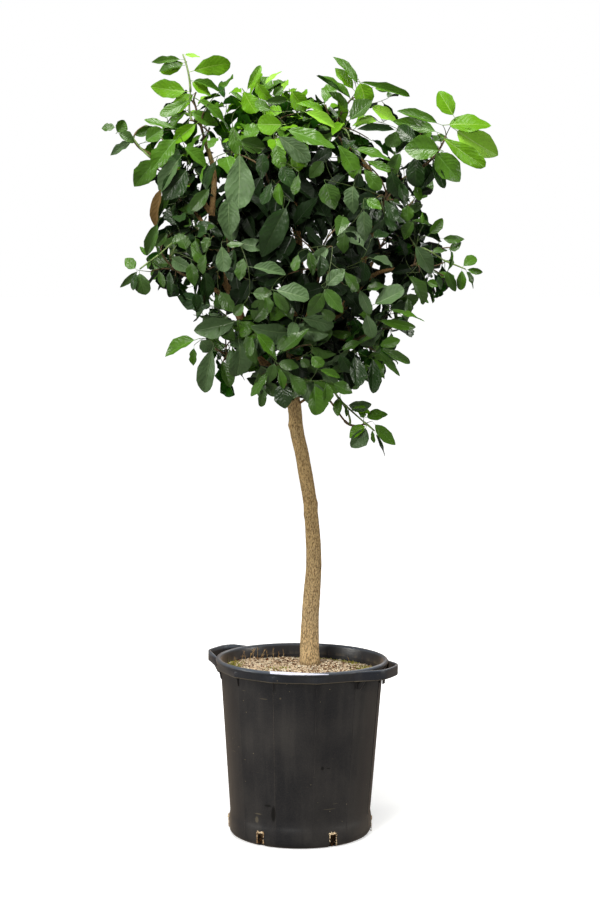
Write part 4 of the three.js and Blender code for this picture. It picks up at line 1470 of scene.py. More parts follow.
@dataclass(frozen=True)
class MassPlan:
    """One mass of foliage, in millimetres, with the same values as in the part's source."""

    name: str
    parent: str
    at: float
    centre: tuple[float, float, float]
    reach: tuple[float, float, float]
    leaf: float
    twigs: int
    hang: float
    girth: float = 0.0
    via: tuple = ()


CROWN: tuple[MassPlan, ...] = tuple(MassPlan(*row) for row in (
    (
        "top_left", "trunk", 0.985, (-255, 0, 1775), (130, 130, 145), 100, 6, 0.0, 12.5,
        ((-114, 2, 1187), (-150, 4, 1290), (-212, 6, 1440), (-208, 6, 1620)),
    ),
    (
        "top_middle_right", "trunk", 1.0, (120, 0, 1775), (145, 140, 135), 104, 6, 0.05, 12.0,
        ((5, 2, 1222), (110, -4, 1300), (160, -6, 1450), (172, 0, 1610)),
    ),
    (
        "top_centre", "trunk", 0.97, (-70, 0, 1745), (130, 145, 120), 100, 6, 0.1, 11.5,
        ((-20, 30, 1230), (0, 40, 1420), (-30, 25, 1600)),
    ),
    (
        "front_centre", "trunk", 0.93, (55, -230, 1430), (165, 160, 155), 105, 6, 0.5, 10.0,
        ((-8, -55, 1160),),
    ),
    ("upper_left", "bough_top_left", 0.62, (-320, 15, 1605), (125, 145, 120), 98, 6, 0.5),
    ("far_left", "bough_top_left", 0.72, (-400, -40, 1695), (85, 95, 70), 72, 4, 0.1),
    ("left_middle", "bough_top_left", 0.33, (-335, -15, 1415), (120, 140, 120), 92, 6, 0.4),
    ("front_left", "bough_top_left", 0.27, (-170, -185, 1440), (150, 160, 160), 105, 6, 0.5),
    ("lower_left", "bough_top_left", 0.12, (-230, -20, 1205), (145, 145, 135), 105, 6, 0.5),
    ("back_left", "bough_top_left", 0.22, (-225, 210, 1440), (180, 180, 170), 118, 6, 0.4),
    ("upper_front", "bough_top_centre", 0.6, (-85, -180, 1620), (155, 160, 135), 124, 6, 0.7),
    ("back_top", "bough_top_centre", 0.5, (-20, 230, 1650), (210, 175, 155), 118, 6, 0.3),
    ("back_lower", "bough_top_centre", 0.1, (10, 205, 1235), (195, 165, 145), 118, 6, 0.5),
    ("lower_centre", "bough_front_centre", 0.15, (-25, -165, 1200), (155, 150, 145), 105, 6, 0.45),
    ("upper_right", "bough_top_middle_right", 0.5, (215, -130, 1600), (150, 155, 145), 108, 6, 0.3),
    ("top_right", "bough_top_middle_right", 0.68, (350, -10, 1690), (130, 150, 140), 118, 6, 0.15),
    ("right_middle", "bough_top_middle_right", 0.42, (325, -15, 1425), (135, 150, 155), 92, 6, 0.35),
    ("back_right", "bough_top_middle_right", 0.3, (230, 210, 1465), (180, 180, 175), 118, 6, 0.4),
    ("lower_right", "bough_top_middle_right", 0.14, (180, -40, 1230), (145, 145, 145), 100, 6, 0.6),
    ("low_sprig", "trunk", 0.91, (160, -60, 1010), (95, 90, 80), 72, 4, 0.3, 0.0, ((50, -25, 1088),)),
))


@dataclass
class Limb:
    """The trunk or a bough: its course and its radius, in millimetres."""

    course: Course
    base: float
    end: float
    sides: int

    def girth(self, share: float) -> float:
        """The radius at a share of the length."""
        return self.base + (self.end - self.base) * share


@dataclass
class Skeleton:
    """The trunk and the boughs, led by the same points and shares as in the part's source.

    A bough is its radius at its base and end and its sides. A grain is the step along a limb and a furrow's
    width.
    """

    soil_top: float = 413.0
    foot: float = 23.0
    top: float = 16.5
    taper: float = 0.55
    entry: float = 0.62
    bends: tuple = (
        (0, 24, 25), (94, 24, 24), (190, 30, 22), (262, 34, 20), (331, 31, 18),
        (425, 21.5, 15), (519, 5.5, 12), (584, -8, 10), (645, -14.5, 8), (706, -29, 6),
    )
    main_end: float = 5.4
    main_sides: int = 24
    side_bough: tuple = (6.4, 3.6, 14)
    sprig_bough: tuple = (3.4, 2.2, 14)
    trunk_sides: int = 72
    trunk_grain: tuple[float, float] = (2.6, 4.6)
    bough_grain: tuple[float, float] = (7.0, 5.0)
    knots: tuple = (
        ((-16, -6, 1007), 9.0, 3.4), ((-12, -8, 789), 10.0, 3.2), ((17, -6, 816), 11.0, 3.0),
        ((4, -18, 640), 8.0, 1.8), ((-6, 16, 900), 10.0, 2.6), ((14, 10, 560), 9.0, 2.2),
    )
    limbs: dict[str, Limb] = field(default_factory=dict)

    def trunk_course(self) -> Course:
        """The trunk's centre line, from a little below the soil to the fork."""
        _, x, y = self.bends[0]
        return Course([(x, y, self.soil_top + height) for height, x, y in ((-20, x, y), *self.bends)])

    def trunk_girth(self, height: float) -> float:
        """The trunk's radius at a height.

        Args:
            height: the height.

        Returns:
            The radius, with the flare at the soil.
        """
        share = max(height - self.soil_top, 0.0) / self.bends[-1][0]
        taper = 1 - min(share / self.taper, 1)
        swell = 1.2 * math.exp(-share * 12) + 1.0 * math.exp(-share * 30)
        return self.top + (self.foot - self.top) * taper + swell

    def lead(self) -> None:
        """Leads the trunk and every bough, each from its parent into its mass."""
        self.limbs["trunk"] = Limb(self.trunk_course(), self.foot, self.top, self.trunk_sides)
        for mass in CROWN:
            parent = self.limbs[mass.parent].course
            start, heading = parent.at(mass.at), parent.heading(mass.at)
            space = Space.of(mass)
            back = start - space.centre
            distance = size_of(back)
            back = back / distance
            depth = min(self.entry * space.along(back), 0.7 * distance)
            tip = space.centre + back * depth
            middle = start + (tip - start) * 0.45 + heading * 0.1 * distance
            bends = mass.via or (tuple(middle),)
            thickness = self.sprig_bough if mass.name == SPRIG else self.side_bough
            if mass.girth:
                thickness = (mass.girth, self.main_end, self.main_sides)
            self.limbs["bough_" + mass.name] = Limb(Course([start, *bends, tip]), *thickness)

    def relief(self, point: Array, fine: float) -> float:
        """The bark's height above its mean at a place, in millimetres.

        Args:
            point: the place, in millimetres.
            fine: the width of a furrow.

        Returns:
            The height.
        """
        place = Vector((point[0] / fine, point[1] / fine, point[2] / fine * 0.34))
        ridged = 1 - abs(noise.noise(place)) * 2.4
        wrinkle = noise.noise(place * 2.3 + Vector((7.0, 3.0, 1.0)))
        slow = noise.noise(Vector((point[0] / 30, point[1] / 30, point[2] / 55)))
        return 0.55 * ridged + 0.35 * wrinkle + 1.1 * slow

    def barked(self, limb: Limb, trunk: bool) -> tuple[Array, Array]:
        """A limb's mesh with the bark's relief.

        Args:
            limb: the limb.
            trunk: whether it is the trunk.

        Returns:
            The vertices, in metres, and the faces.
        """
        spacing, fine = self.trunk_grain if trunk else self.bough_grain
        steps = max(8, int(limb.course.length / spacing))
        line = limb.course.spaced(steps)
        girths = np.array([limb.girth(share) for share in np.linspace(0, 1, steps + 1)])
        if trunk:
            girths = np.array([self.trunk_girth(point[2]) for point in line])
        points, faces = tube(line, girths, limb.sides)
        amount = 1.0 if trunk else min(1.0, float(np.mean(girths)) / 14)
        centres = np.concatenate([np.repeat(line, limb.sides, axis=0), line[:1], line[-1:]])
        outward = unit(points - centres)
        for i in range(len(line) * limb.sides):
            rise = self.relief(points[i], fine) * amount
            if trunk:
                for knot, reach, height in self.knots:
                    share = (knot[2] - self.soil_top) / self.bends[-1][0]
                    spot = np.array(knot) + limb.course.at(share) * (1, 1, 0)
                    rise += height * math.exp(-float(np.sum((points[i] - spot) ** 2)) / reach**2)
            points[i] += outward[i] * rise
        return points * MM, faces

    def build(self, bark: Material, twig_bark: Material) -> None:
        """Models the trunk, and all the boughs as one mesh.

        Args:
            bark: the trunk's material.
            twig_bark: the boughs' material.
        """
        trunk = Workbench.from_arrays("trunk_bark", *self.barked(self.limbs["trunk"], True))
        publish(trunk, "bark", [bark], ("trunk",))
        joiner = Joiner()
        names = tuple("bough_" + mass.name for mass in CROWN)
        for name in names:
            joiner.add(*self.barked(self.limbs[name], False))
        publish(joiner.build("bough_bark"), "bark", [twig_bark], names)


# The crown


def seeded(seed: int) -> Draw:
    """Numbers from 0 to 1 that are the same each run and the same as in the part's source.

    Args:
        seed: the seed.

    Returns:
        A function that gives the next number.
    """
    state = [seed & WORD]

    def draw() -> float:
        """Draws one number.

        Returns:
            The next number.
        """
        state[0] = (state[0] + 0x6D2B79F5) & WORD
        mixed = ((state[0] ^ (state[0] >> 15)) * (1 | state[0])) & WORD
        mixed = ((mixed + (((mixed ^ (mixed >> 7)) * (61 | mixed)) & WORD)) & WORD) ^ mixed
        return ((mixed ^ (mixed >> 14)) & WORD) / (WORD + 1)

    return draw


def seed_of(name: str) -> int:
    """The seed that belongs to a mass's name."""
    return reduce(lambda total, letter: (total * 31 + ord(letter)) & WORD, name, 7)


def ellipsoid_along(reach: tuple, way: Array) -> float:
    """How far an ellipsoid goes from its centre along a heading."""
    return 1 / size_of(way / np.array(reach, float))


@dataclass
class Space:
    """A mass's space: an ellipsoid, and the planes that part it from its neighbours."""

    centre: Array
    reach: tuple
    planes: list[tuple[Array, float]]

    @staticmethod
    def of(mass: MassPlan) -> "Space":
        """Works out a mass's space.

        Args:
            mass: the mass.

        Returns:
            The space, cut off where a neighbour's begins.
        """
        centre = np.array(mass.centre, float)
        planes = []
        for other in (other for other in CROWN if other is not mass):
            normal = np.array(other.centre, float) - centre
            distance = size_of(normal)
            normal = normal / distance
            own, theirs = ellipsoid_along(mass.reach, normal), ellipsoid_along(other.reach, normal)
            planes.append((normal, float(centre.dot(normal)) + distance * own / (own + theirs)))
        return Space(centre, mass.reach, planes)

    def along(self, way: Array) -> float:
        """How far the space goes from its centre along a heading.

        Args:
            way: the unit heading.

        Returns:
            The distance.
        """
        limits = [ellipsoid_along(self.reach, way)]
        for normal, limit in self.planes:
            lean = float(way.dot(normal))
            if lean > 1e-6:
                limits.append((limit - float(self.centre.dot(normal))) / lean)
        return min(limits)

    def depth(self, point: Array) -> float:
        """The share of the ellipsoid's reach at which a point lies."""
        return size_of((point - self.centre) / np.array(self.reach, float))


@dataclass(frozen=True)
class Shoot:
    """Growth that the photograph shows plainly: its mass, its stem's points, and its leaves."""

    mass: str
    stem: list[list[float]]
    leaves: list[tuple[list[float], str]]

    @staticmethod
    def read(text: str) -> "Shoot":
        """Reads a shoot from its rows in SHOOTS.

        Args:
            text: the rows, the first with the mass and the stem.

        Returns:
            The shoot, with each leaf's numbers and its tone's letter.
        """
        head, _, rows = text.partition("\n")
        mass, _, stem = head.partition(":")
        points = [[float(part) for part in point.split()] for point in stem.split(",") if point.strip()]
        leaves = [leaf.split() for leaf in rows.split(",")]
        return Shoot(mass, points, [([float(part) for part in leaf[:6]], leaf[6]) for leaf in leaves])

    @staticmethod
    def read_all(text: str) -> list["Shoot"]:
        """Reads all the shoots of a table, which blank lines part."""
        return [Shoot.read(rows) for rows in text.strip().split("\n\n")]


# The placed growth, in millimetres. A shoot starts with its mass and its stem's points, where it has one.
# Each leaf is its blade's foot (x, y, z), its tip (x, z), its breadth and its tone's letter.
SHOOTS = """
top_left: -259 -10 1743, -262 -10 1811, -280 -10 1900
-256 -10 1863 -168 1886 50 Y, -273 -10 1898 -238 1892 13 P, -286 -10 1889 -356 1889 16 F,
-276 -18 1869 -338 1869 24 M, -280 0 1880 -336 1857 35 Y, -276 -10 1818 -359 1821 44 Y,
-247 -10 1837 -188 1824 20 F, -256 -15 1831 -214 1800 36 Y, -240 -25 1791 -151 1743 38 F,
-260 2 1812 -307 1768 41 Y, -269 -20 1789 -333 1751 29 F, -274 0 1770 -320 1734 33 F,
-259 -15 1762 -194 1733 33 F, -248 -70 1731 -303 1689 34 Y

top_centre:
-124 -70 1814 -91 1869 21 Y, -82 -70 1827 -49 1864 14 P, -101 -90 1826 -75 1779 27 Y,
-133 -85 1807 -108 1756 47 Y, -20 -90 1807 15 1764 41 Y, -134 -70 1784 -163 1811 14 F,
-81 -100 1783 -31 1781 18 M, -62 -70 1798 -43 1821 22 F, -42 -180 1726 -99 1726 49 Y,
15 -160 1755 86 1727 27 P, -48 -230 1696 29 1646 48 G, -26 -240 1711 82 1674 46 F,
-156 -210 1722 -146 1656 31 F, -137 -220 1687 -78 1671 38 M, -54 -250 1676 -42 1619 35 F,
-16 -220 1665 2 1620 40 Y, 54 -130 1757 -4 1785 26 Y, -71 -140 1756 -106 1780 26 F,
-42 -130 1757 -81 1766 29 Y

top_middle_right: 122 -15 1678, 124 -15 1762, 143 -15 1834
137 -15 1831 83 1897 25 F, 127 -10 1818 83 1867 25 Y, 120 -20 1795 35 1840 30 F, 114 -15 1769 67 1809 28 F,
147 -20 1833 263 1800 19 F, 143 -30 1830 166 1767 50 Y, 180 -10 1820 219 1811 17 Y,
120 -35 1745 174 1786 44 M, 173 -5 1776 234 1742 41 P, 91 -5 1788 111 1736 28 Y,
183 -25 1739 127 1743 22 P, 224 -55 1719 136 1722 21 D, 231 -45 1722 218 1677 40 M,
89 -125 1681 144 1610 40 F, 134 -125 1671 214 1652 31 F, 158 -145 1642 211 1616 21 F

top_right: 272 -20 1678, 325 -20 1694, 350 -20 1730, 364 -20 1754
366 -20 1756 331 1811 44 Y, 357 -20 1733 456 1741 57 Y, 376 -25 1718 473 1655 63 P,
343 -35 1700 440 1629 41 Y, 326 -40 1664 382 1598 61 F, 329 -55 1670 249 1680 61 F,
327 -30 1736 233 1770 26 F, 323 -40 1716 225 1753 30 F, 277 -50 1693 231 1725 37 D,
276 -60 1654 273 1583 47 D, 317 -35 1645 349 1583 25 D, 278 -30 1593 288 1552 21 F,
237 -70 1663 211 1605 33 M

far_left: -305 -45 1651, -356 -45 1654, -399 -45 1703, -435 -45 1721
-441 -45 1725 -473 1725 22 M, -435 -50 1714 -415 1740 33 F, -434 -53 1712 -395 1695 24 M,
-402 -45 1693 -455 1667 18 G, -343 -55 1646 -401 1586 50 F, -393 -45 1706 -349 1727 24 F,
-301 -45 1725 -371 1745 21 F, -366 -57 1693 -328 1722 37 F

upper_left:
-292 -130 1693 -350 1622 43 F, -286 -130 1645 -339 1577 43 G, -268 -120 1623 -320 1553 56 D,
-270 -140 1674 -215 1636 36 F, -326 -110 1579 -360 1491 30 S, -212 -170 1578 -257 1527 33 M,
-338 -100 1495 -366 1421 30 M, -302 -105 1592 -334 1524 20 M

upper_front:
-138 -290 1653 -138 1531 67 G, -163 -300 1557 -163 1472 51 G, -32 -310 1532 -91 1424 58 D,
-85 -280 1657 -88 1598 32 D, -41 -290 1626 -19 1576 42 D, -66 -280 1589 -79 1539 32 D,
-41 -270 1539 -54 1589 25 F, -4 -300 1607 -13 1563 25 M

upper_right:
59 -230 1589 78 1530 53 M, 123 -230 1583 110 1525 37 G, 148 -230 1621 187 1576 33 F,
212 -210 1615 225 1552 40 D, 231 -210 1590 250 1538 33 D, 154 -240 1552 189 1530 28 F,
147 -250 1526 148 1454 39 G, 53 -230 1640 21 1602 32 M, 103 -250 1476 94 1429 30 M,
251 -190 1539 251 1501 32 F, 196 -220 1552 218 1501 28 D

left_middle: -285 -60 1462, -338 -60 1422, -383 -60 1389
-394 -60 1391 -417 1415 28 F, -391 -60 1389 -430 1342 17 M, -384 -65 1374 -376 1329 41 M,
-397 -60 1378 -399 1338 17 D, -367 -60 1422 -380 1443 13 F, -285 -60 1462 -325 1443 26 M,
-304 -70 1449 -272 1475 30 M, -319 -50 1475 -345 1443 22 M, -255 -150 1405 -252 1351 30 M,
-223 -140 1383 -216 1305 44 D, -312 -60 1384 -306 1326 17 D, -338 -55 1384 -326 1345 17 M,
-269 -120 1437 -282 1476 32 M

right_middle: 278 -50 1436, 344 -50 1410, 396 -50 1389
396 -50 1403 419 1422 28 F, 400 -50 1390 437 1381 17 F, 387 -50 1384 387 1338 24 F,
396 -50 1377 421 1343 21 M, 350 -50 1384 372 1337 24 M, 294 -50 1498 291 1526 12 F,
310 -55 1474 341 1509 28 F, 343 -50 1462 394 1456 21 M, 276 -80 1443 317 1378 38 G,
269 -90 1501 243 1463 33 M, 357 -50 1436 389 1449 20 M, 317 -60 1430 349 1443 21 M,
331 -50 1371 338 1341 17 D, 260 -90 1372 311 1313 38 M, 305 -50 1358 331 1351 20 F,
285 -50 1331 306 1305 20 F

front_left:
-106 -330 1399 -31 1387 32 G, -135 -320 1415 -135 1368 26 M, -178 -320 1446 -172 1388 36 G,
-107 -320 1340 -63 1337 30 M, -216 -300 1427 -229 1383 28 M, -129 -310 1452 -166 1445 19 M,
-204 -300 1464 -229 1439 25 M, -129 -310 1315 -154 1290 23 M

front_centre:
-52 -350 1347 21 1335 48 G, -59 -365 1344 -30 1301 26 M, 52 -365 1341 21 1288 38 M,
55 -360 1350 97 1297 36 M, 61 -350 1359 98 1398 35 G, 95 -350 1390 137 1350 26 M,
21 -340 1433 33 1381 29 M, 46 -340 1427 52 1378 25 D, -4 -335 1427 -13 1390 25 M,
49 -350 1304 80 1279 27 M, -78 -350 1332 -66 1297 24 M

lower_right:
139 -230 1343 163 1289 27 G, 174 -230 1312 244 1340 48 G, 155 -220 1346 203 1359 32 M,
155 -220 1286 168 1232 33 G, 189 -170 1271 271 1252 23 F, 215 -160 1295 297 1277 21 F,
99 -200 1205 150 1228 27 M, 189 -170 1212 236 1226 27 F, 105 -200 1195 118 1143 33 D,
128 -190 1188 128 1118 38 D, 170 -170 1181 170 1100 30 D, 193 -170 1191 236 1141 21 M,
199 -170 1207 259 1171 21 M, 254 -150 1322 258 1273 22 M

lower_left:
-250 -140 1224 -323 1202 40 F, -155 -170 1268 -248 1242 49 G, -190 -170 1258 -155 1226 33 M,
-207 -160 1200 -237 1098 46 G, -240 -140 1221 -207 1192 34 G, -142 -190 1214 -132 1139 59 G,
-125 -200 1237 -106 1170 27 M, -142 -190 1269 -102 1253 18 F, -185 -140 1173 -163 1114 32 M,
-251 -130 1204 -252 1162 17 F, -247 -130 1334 -240 1289 26 D

lower_centre:
-98 -280 1244 -47 1188 37 F, -42 -280 1206 21 1257 33 M, -48 -270 1177 -3 1168 29 M,
-23 -270 1152 13 1108 33 M, -54 -265 1177 -74 1130 27 M, -74 -260 1155 -105 1096 27 M,
-89 -260 1116 -88 1074 20 M, -42 -250 1128 -34 1070 46 D, -48 -275 1162 -39 1116 20 F,
34 -270 1124 37 1055 48 F, 61 -280 1131 63 1083 24 F, 79 -260 1129 124 1107 33 M,
47 -275 1162 92 1143 18 F, 28 -270 1193 50 1167 29 F, 2 -260 1186 21 1166 23 M,
-111 -260 1237 -118 1193 22 M

low_sprig: 68 -60 1115, 92 -60 1079, 154 -60 1022, 184 -60 996
96 -60 1082 95 1036 29 F, 113 -60 1057 172 1061 32 G, 124 -65 1052 169 1045 21 Y,
161 -60 1034 208 1049 35 F, 161 -55 1015 117 987 30 Y, 162 -68 1010 129 958 39 G,
181 -60 1016 228 965 30 F, 174 -60 1002 178 971 13 F, 184 -60 992 209 938 11 D, 105 -60 1052 113 1036 9 F,
154 -55 1032 148 1052 17 F
"""


@dataclass
class Twig:
    """A twig: a quadratic curve from its joint to its goal, in millimetres."""

    start: Array
    bend: Array
    goal: Array
    girth: float
    path: float
    order: int
    parent: "Twig | None" = None
    joint: float = 1.0
    need: float = 0.0

    def at(self, share: float) -> Array:
        """The point at a share of the curve."""
        rest = 1 - share
        return rest * rest * self.start + 2 * rest * share * self.bend + share * share * self.goal

    def heading(self, share: float) -> Array:
        """The unit heading at a share of the curve."""
        return unit((self.bend - self.start) * (1 - share) + (self.goal - self.bend) * share)

    def length(self) -> float:
        """The curve's length, nearly."""
        line = np.stack([self.at(share) for share in (0, 0.25, 0.5, 0.75, 1)])
        return float(np.linalg.norm(np.diff(line, axis=0), axis=1).sum())


@dataclass
class LeafSpot:
    """Where one leaf stands: its root, heading, facing, length, breadth and tone."""

    root: Array
    heading: Array
    facing: Array
    length: float
    breadth: float
    tone: Tone
    form: int
    twig: Twig
    share: float
    curl: float
    sway: float
    placed: bool = False

    def middle(self) -> Array:
        """The blade's middle."""
        return self.root + self.heading * self.length * 0.57


@dataclass
class Foliage:
    """The growth of all the masses: the source's rule, carried on to finer twigs and natural leaves."""

    skeleton: Skeleton
    heart: tuple = (0.0, 0.0, 1420.0)
    path_weight: float = 0.35
    lie: float = 0.3
    flatness: float = 0.86
    fullness: float = 55.0
    # where the leaves inside the crown take the painted-shade SHADED tone
    shade_high: float = 0.76
    shade_low: float = 0.52
    shade_split: float = 1330.0
    shade_top: float = 1650.0
    twig_taper: float = 0.4
    depths: tuple[float, float] = (0.62, 0.80)
    joint_shares: tuple = (0.3, 0.5, 0.7, 0.85, 1.0)
    # By a twig's order: 0 for a mass's stem, 1 for a main twig, 2 for a finer one and 3 for a placed stem.
    leaf_starts: tuple = (0.55, 0.45, 0.22)
    shortest: tuple = (0, 25, 14, 5)
    thickest: tuple = (3.6, 2.3, 1.15, 2.9)
    fine_twigs: int = 22
    few_twigs: dict[str, int] = field(default_factory=lambda: {SPRIG: 6, "far_left": 10})
    outline: tuple = (
        (1032, -36, 54), (1058, -92, 122), (1095, -182, 175), (1144, -235, 231), (1192, -255, 247),
        (1241, -254, 271), (1301, -278, 315), (1337, -363, 375), (1386, -387, 392), (1434, -362, 374),
        (1482, -343, 338), (1530, -350, 301), (1578, -361, 332), (1626, -385, 361), (1673, -380, 373),
        (1721, -360, 360), (1768, -355, 336), (1821, -316, 228), (1852, -144, 0),
    )
    # From each height upwards, the tones with the share of the picks up to which each is taken.
    bands: tuple = (
        (1700, ((0.05, Tone.PALE), (0.38, Tone.YOUNG), (0.85, Tone.FRESH), (1.01, Tone.MIDDLE))),
        (1635, ((0.08, Tone.YOUNG), (0.40, Tone.FRESH), (0.75, Tone.MIDDLE), (1.01, Tone.DEEP))),
        (1480, ((0.05, Tone.FRESH), (0.30, Tone.MIDDLE), (0.90, Tone.DEEP), (1.01, Tone.GREY))),
        (1330, ((0.10, Tone.FRESH), (0.44, Tone.MIDDLE), (0.84, Tone.DEEP), (1.01, Tone.GREY))),
        (0, ((0.42, Tone.FRESH), (0.66, Tone.MIDDLE), (0.70, Tone.DEEP), (1.01, Tone.GREY))),
    )
    shoots: list[Shoot] = field(default_factory=lambda: Shoot.read_all(SHOOTS))
    twigs: list[Twig] = field(default_factory=list)
    leaves: list[LeafSpot] = field(default_factory=list)

    def goals(self, space: Space, count: int, depth: float, draw: Draw) -> list[Array]:
        """The points that twigs reach for, on a golden spiral over the space.

        Args:
            space: the mass's space.
            count: the number of points.
            depth: the share of the way out to the space's skin.
            draw: the random numbers.

        Returns:
            The points.
        """
        points = []
        for i in range(count):
            height = 1 - 2 * (i + 0.5) / count
            ring = math.sqrt(1 - height * height)
            angle = i * GOLDEN_TURN + draw() * 0.9
            way = np.array([ring * math.cos(angle), ring * math.sin(angle), height])
            share = depth * (0.85 + 0.3 * draw())
            points.append(space.centre + way * share * space.along(way))
        return points

    def sides_at(self, height: float) -> tuple[float, float, float]:
        """How far the crown goes at a height.

        Args:
            height: the height.

        Returns:
            Its left and right side, and half its depth.
        """
        heights, *sides = zip(*self.outline)
        left, right = (float(np.interp(height, heights, side)) for side in sides)
        return left, right, self.flatness * (right - left) / 2 + self.fullness

    def allows(self, point: Array, spare: float = 0.0) -> bool:
        """Whether a point lies inside the crown's outline, seen from the front and from the side.

        Args:
            point: the point.
            spare: how far outside it may lie.

        Returns:
            True where it may stand.
        """
        if not self.outline[0][0] - spare < point[2] < self.outline[-1][0] + spare + 30:
            return False
        left, right, deep = self.sides_at(point[2])
        return left - spare < point[0] < right + spare and abs(point[1]) < deep + spare

    def remember(self, twig: Twig, joints: list) -> Twig:
        """Adds a twig, and its joints to those that the next twigs can start from.

        Args:
            twig: the twig.
            joints: the places that a twig can start from.

        Returns:
            The same twig.
        """
        self.twigs.append(twig)
        for share in self.joint_shares:
            path = twig.path + share * twig.length()
            joints.append((twig.at(share), twig.heading(share), path, twig, share))
        return twig

    def grow(self, mass: MassPlan) -> None:
        """Grows one mass: its stem, its main twigs, its placed shoots, its finer twigs, and their leaves.

        Args:
            mass: the mass.
        """
        draw = seeded(seed_of(mass.name))
        space = Space.of(mass)
        bough = self.skeleton.limbs["bough_" + mass.name].course
        tip, heading = bough.at(1.0), bough.heading(0.99)
        heart = space.centre + UP * 0.12 * mass.reach[2]
        joints: list = []
        stem = Twig(tip, tip + heading * 0.5 * size_of(heart - tip), heart, self.thickest[0], 0.0, 0)
        grown = [self.remember(stem, joints)]
        fine = self.few_twigs.get(mass.name, self.fine_twigs)
        for order, count, depth in zip((1, 2), (mass.twigs, fine), self.depths):
            goals = self.goals(space, count, depth, draw)
            goals.sort(key=lambda goal: size_of(goal - tip))
            for goal in goals:
                twig = self.reach_for(goal, joints, mass.hang, order)
                if twig is not None and self.allows(goal, 12 if order == 1 else -8):
                    grown.append(self.remember(twig, joints))
            if order == 1:
                for shoot in self.shoots:
                    if shoot.mass == mass.name:
                        self.place(shoot, joints, draw)
        for twig in grown:
            self.leaf_out(twig, mass, space, draw)

    def place(self, shoot: Shoot, joints: list, draw: Draw) -> None:
        """Grows one placed shoot: its stem from the nearest joint, and each leaf on a twig of its own.

        Args:
            shoot: the shoot.
            joints: the places that it can start from.
            draw: the random numbers.
        """
        for index, point in enumerate(shoot.stem):
            twig = self.reach_for(np.array(point), joints[-1:] if index else joints, 0.3, 3)
            if twig is not None:
                self.remember(twig, joints)
        tones = {tone.name[0]: tone for tone in Tone}
        for (x, y, z, tip_x, tip_z, breadth), letter in shoot.leaves:
            tip = np.array([tip_x, y - 8 + 16 * draw(), tip_z], float)
            heading = unit(tip - (x, y, z))
            length = size_of(tip - (x, y, z)) / (1 - LeafForms.stalk)
            root = tip - heading * length
            twig = self.reach_for(root, joints, 0.3, 2)
            if twig is None:
                twig, share = min(joints, key=lambda joint: size_of(joint[0] - root))[3:]
                root = twig.at(share)
                heading, length = unit(tip - root), size_of(tip - root)
            else:
                share = 1.0
                self.remember(twig, joints)
            side = np.cross(heading, (0.0, -1.0, 0.0))
            facing = np.array([0.0, -1.0, 0.0]) + UP * 0.35 + side * 1.1 * (draw() - 0.5)
            form = int(draw() * 6) % 6
            shape = (length, breadth / length, tones[letter], form, twig, share)
            bends = (0.5 * (draw() - 0.42), 0.2 * (draw() - 0.5))
            self.leaves.append(LeafSpot(root, heading, facing, *shape, *bends, True))

    def reach_for(self, goal: Array, joints: list, hang: float, order: int) -> Twig | None:
        """A twig to a goal from the joint from which the way is short and turns little.

        Args:
            goal: the point to reach.
            joints: the places that it can start from.
            hang: how far the twig sags.
            order: 1 for a main twig, 2 for a finer one and 3 for a placed stem.

        Returns:
            The twig, or None where it would be too short.
        """
        points, ways, paths = (np.array(part) for part in list(zip(*joints))[:3])
        spans = goal - points
        lengths = np.maximum(np.linalg.norm(spans, axis=1), 1e-6)
        costs = lengths * (1.4 - 0.5 * np.sum(spans * ways, axis=1) / lengths) + self.path_weight * paths
        best = int(np.argmin(costs))
        point, way, path, parent, share = joints[best]
        length = float(lengths[best])
        if length < self.shortest[order]:
            return None
        bend = point + way * 0.3 * length
        bend = bend + (goal - bend) * 0.25 + UP * (0.12 - 0.2 * hang) * length
        girth = self.thickest[order]
        if order < 3:
            girth = min(parent.girth * (1 - self.twig_taper * share), girth)
        return Twig(point, bend, goal, girth, path, order, parent, share)

    def tone(self, height: float, pick: float) -> Tone:
        """The tone of a spray by its height in the crown, and by a pick from 0 to 1."""
        bands = next(tones for lowest, tones in self.bands if height > lowest)
        return next(tone for limit, tone in bands if pick < limit)

    def leaf_out(self, twig: Twig, mass: MassPlan, space: Space, draw: Draw) -> None:
        """Sets the leaves along a twig, each turned from the last by the golden angle.

        Args:
            twig: the twig.
            mass: its mass.
            space: the mass's space.
            draw: the random numbers.
        """
        start = self.leaf_starts[twig.order]
        count = int(min(max(round(twig.length() * (1 - start) / 15), 2), 6))
        angle = draw() * FULL_TURN
        spray = self.tone(twig.goal[2] + 60 * (draw() - 0.5), draw())
        for i in range(count + 1):
            last = i == count
            share = 0.98 if last else start + (0.96 - start) * i / count
            root, way = twig.at(share), twig.heading(share)
            size = mass.leaf * (0.58 + 0.36 * draw())
            spread = 0.2 if last else math.radians(48 + 24 * draw())
            side = square_to(way, angle)
            heading = way * math.cos(spread) + side * math.sin(spread)
            outward = unit(root - np.array(self.heart))
            heading = heading - outward * self.lie * float(heading.dot(outward))
            heading = unit(heading - UP * mass.hang * (0.35 + 0.75 * draw()))
            facing = outward + UP * 0.5 + side * 1.5 * (draw() - 0.5)
            angle += GOLDEN_TURN
            tone = spray if draw() < 0.8 else self.tone(root[2], draw())
            breadth = 0.38 + 0.14 * draw()
            form = int(draw() * 6) % 6
            bends = (0.5 * (draw() - 0.4), 0.2 * (draw() - 0.5))
            spare = 20 - 46 * draw()
            for shrink in (1.0, 0.84, 0.72):
                tip = root + heading * size * shrink
                if space.depth(tip) < 1.06 and self.allows(tip, spare):
                    # painted shade: a leaf inside the crown takes the dark SHADED tone
                    if self.buried(root):
                        tone = Tone.SHADED
                    shape = (size * shrink, breadth, tone, form, twig, share)
                    self.leaves.append(LeafSpot(root, heading, facing, *shape, *bends))
                    break

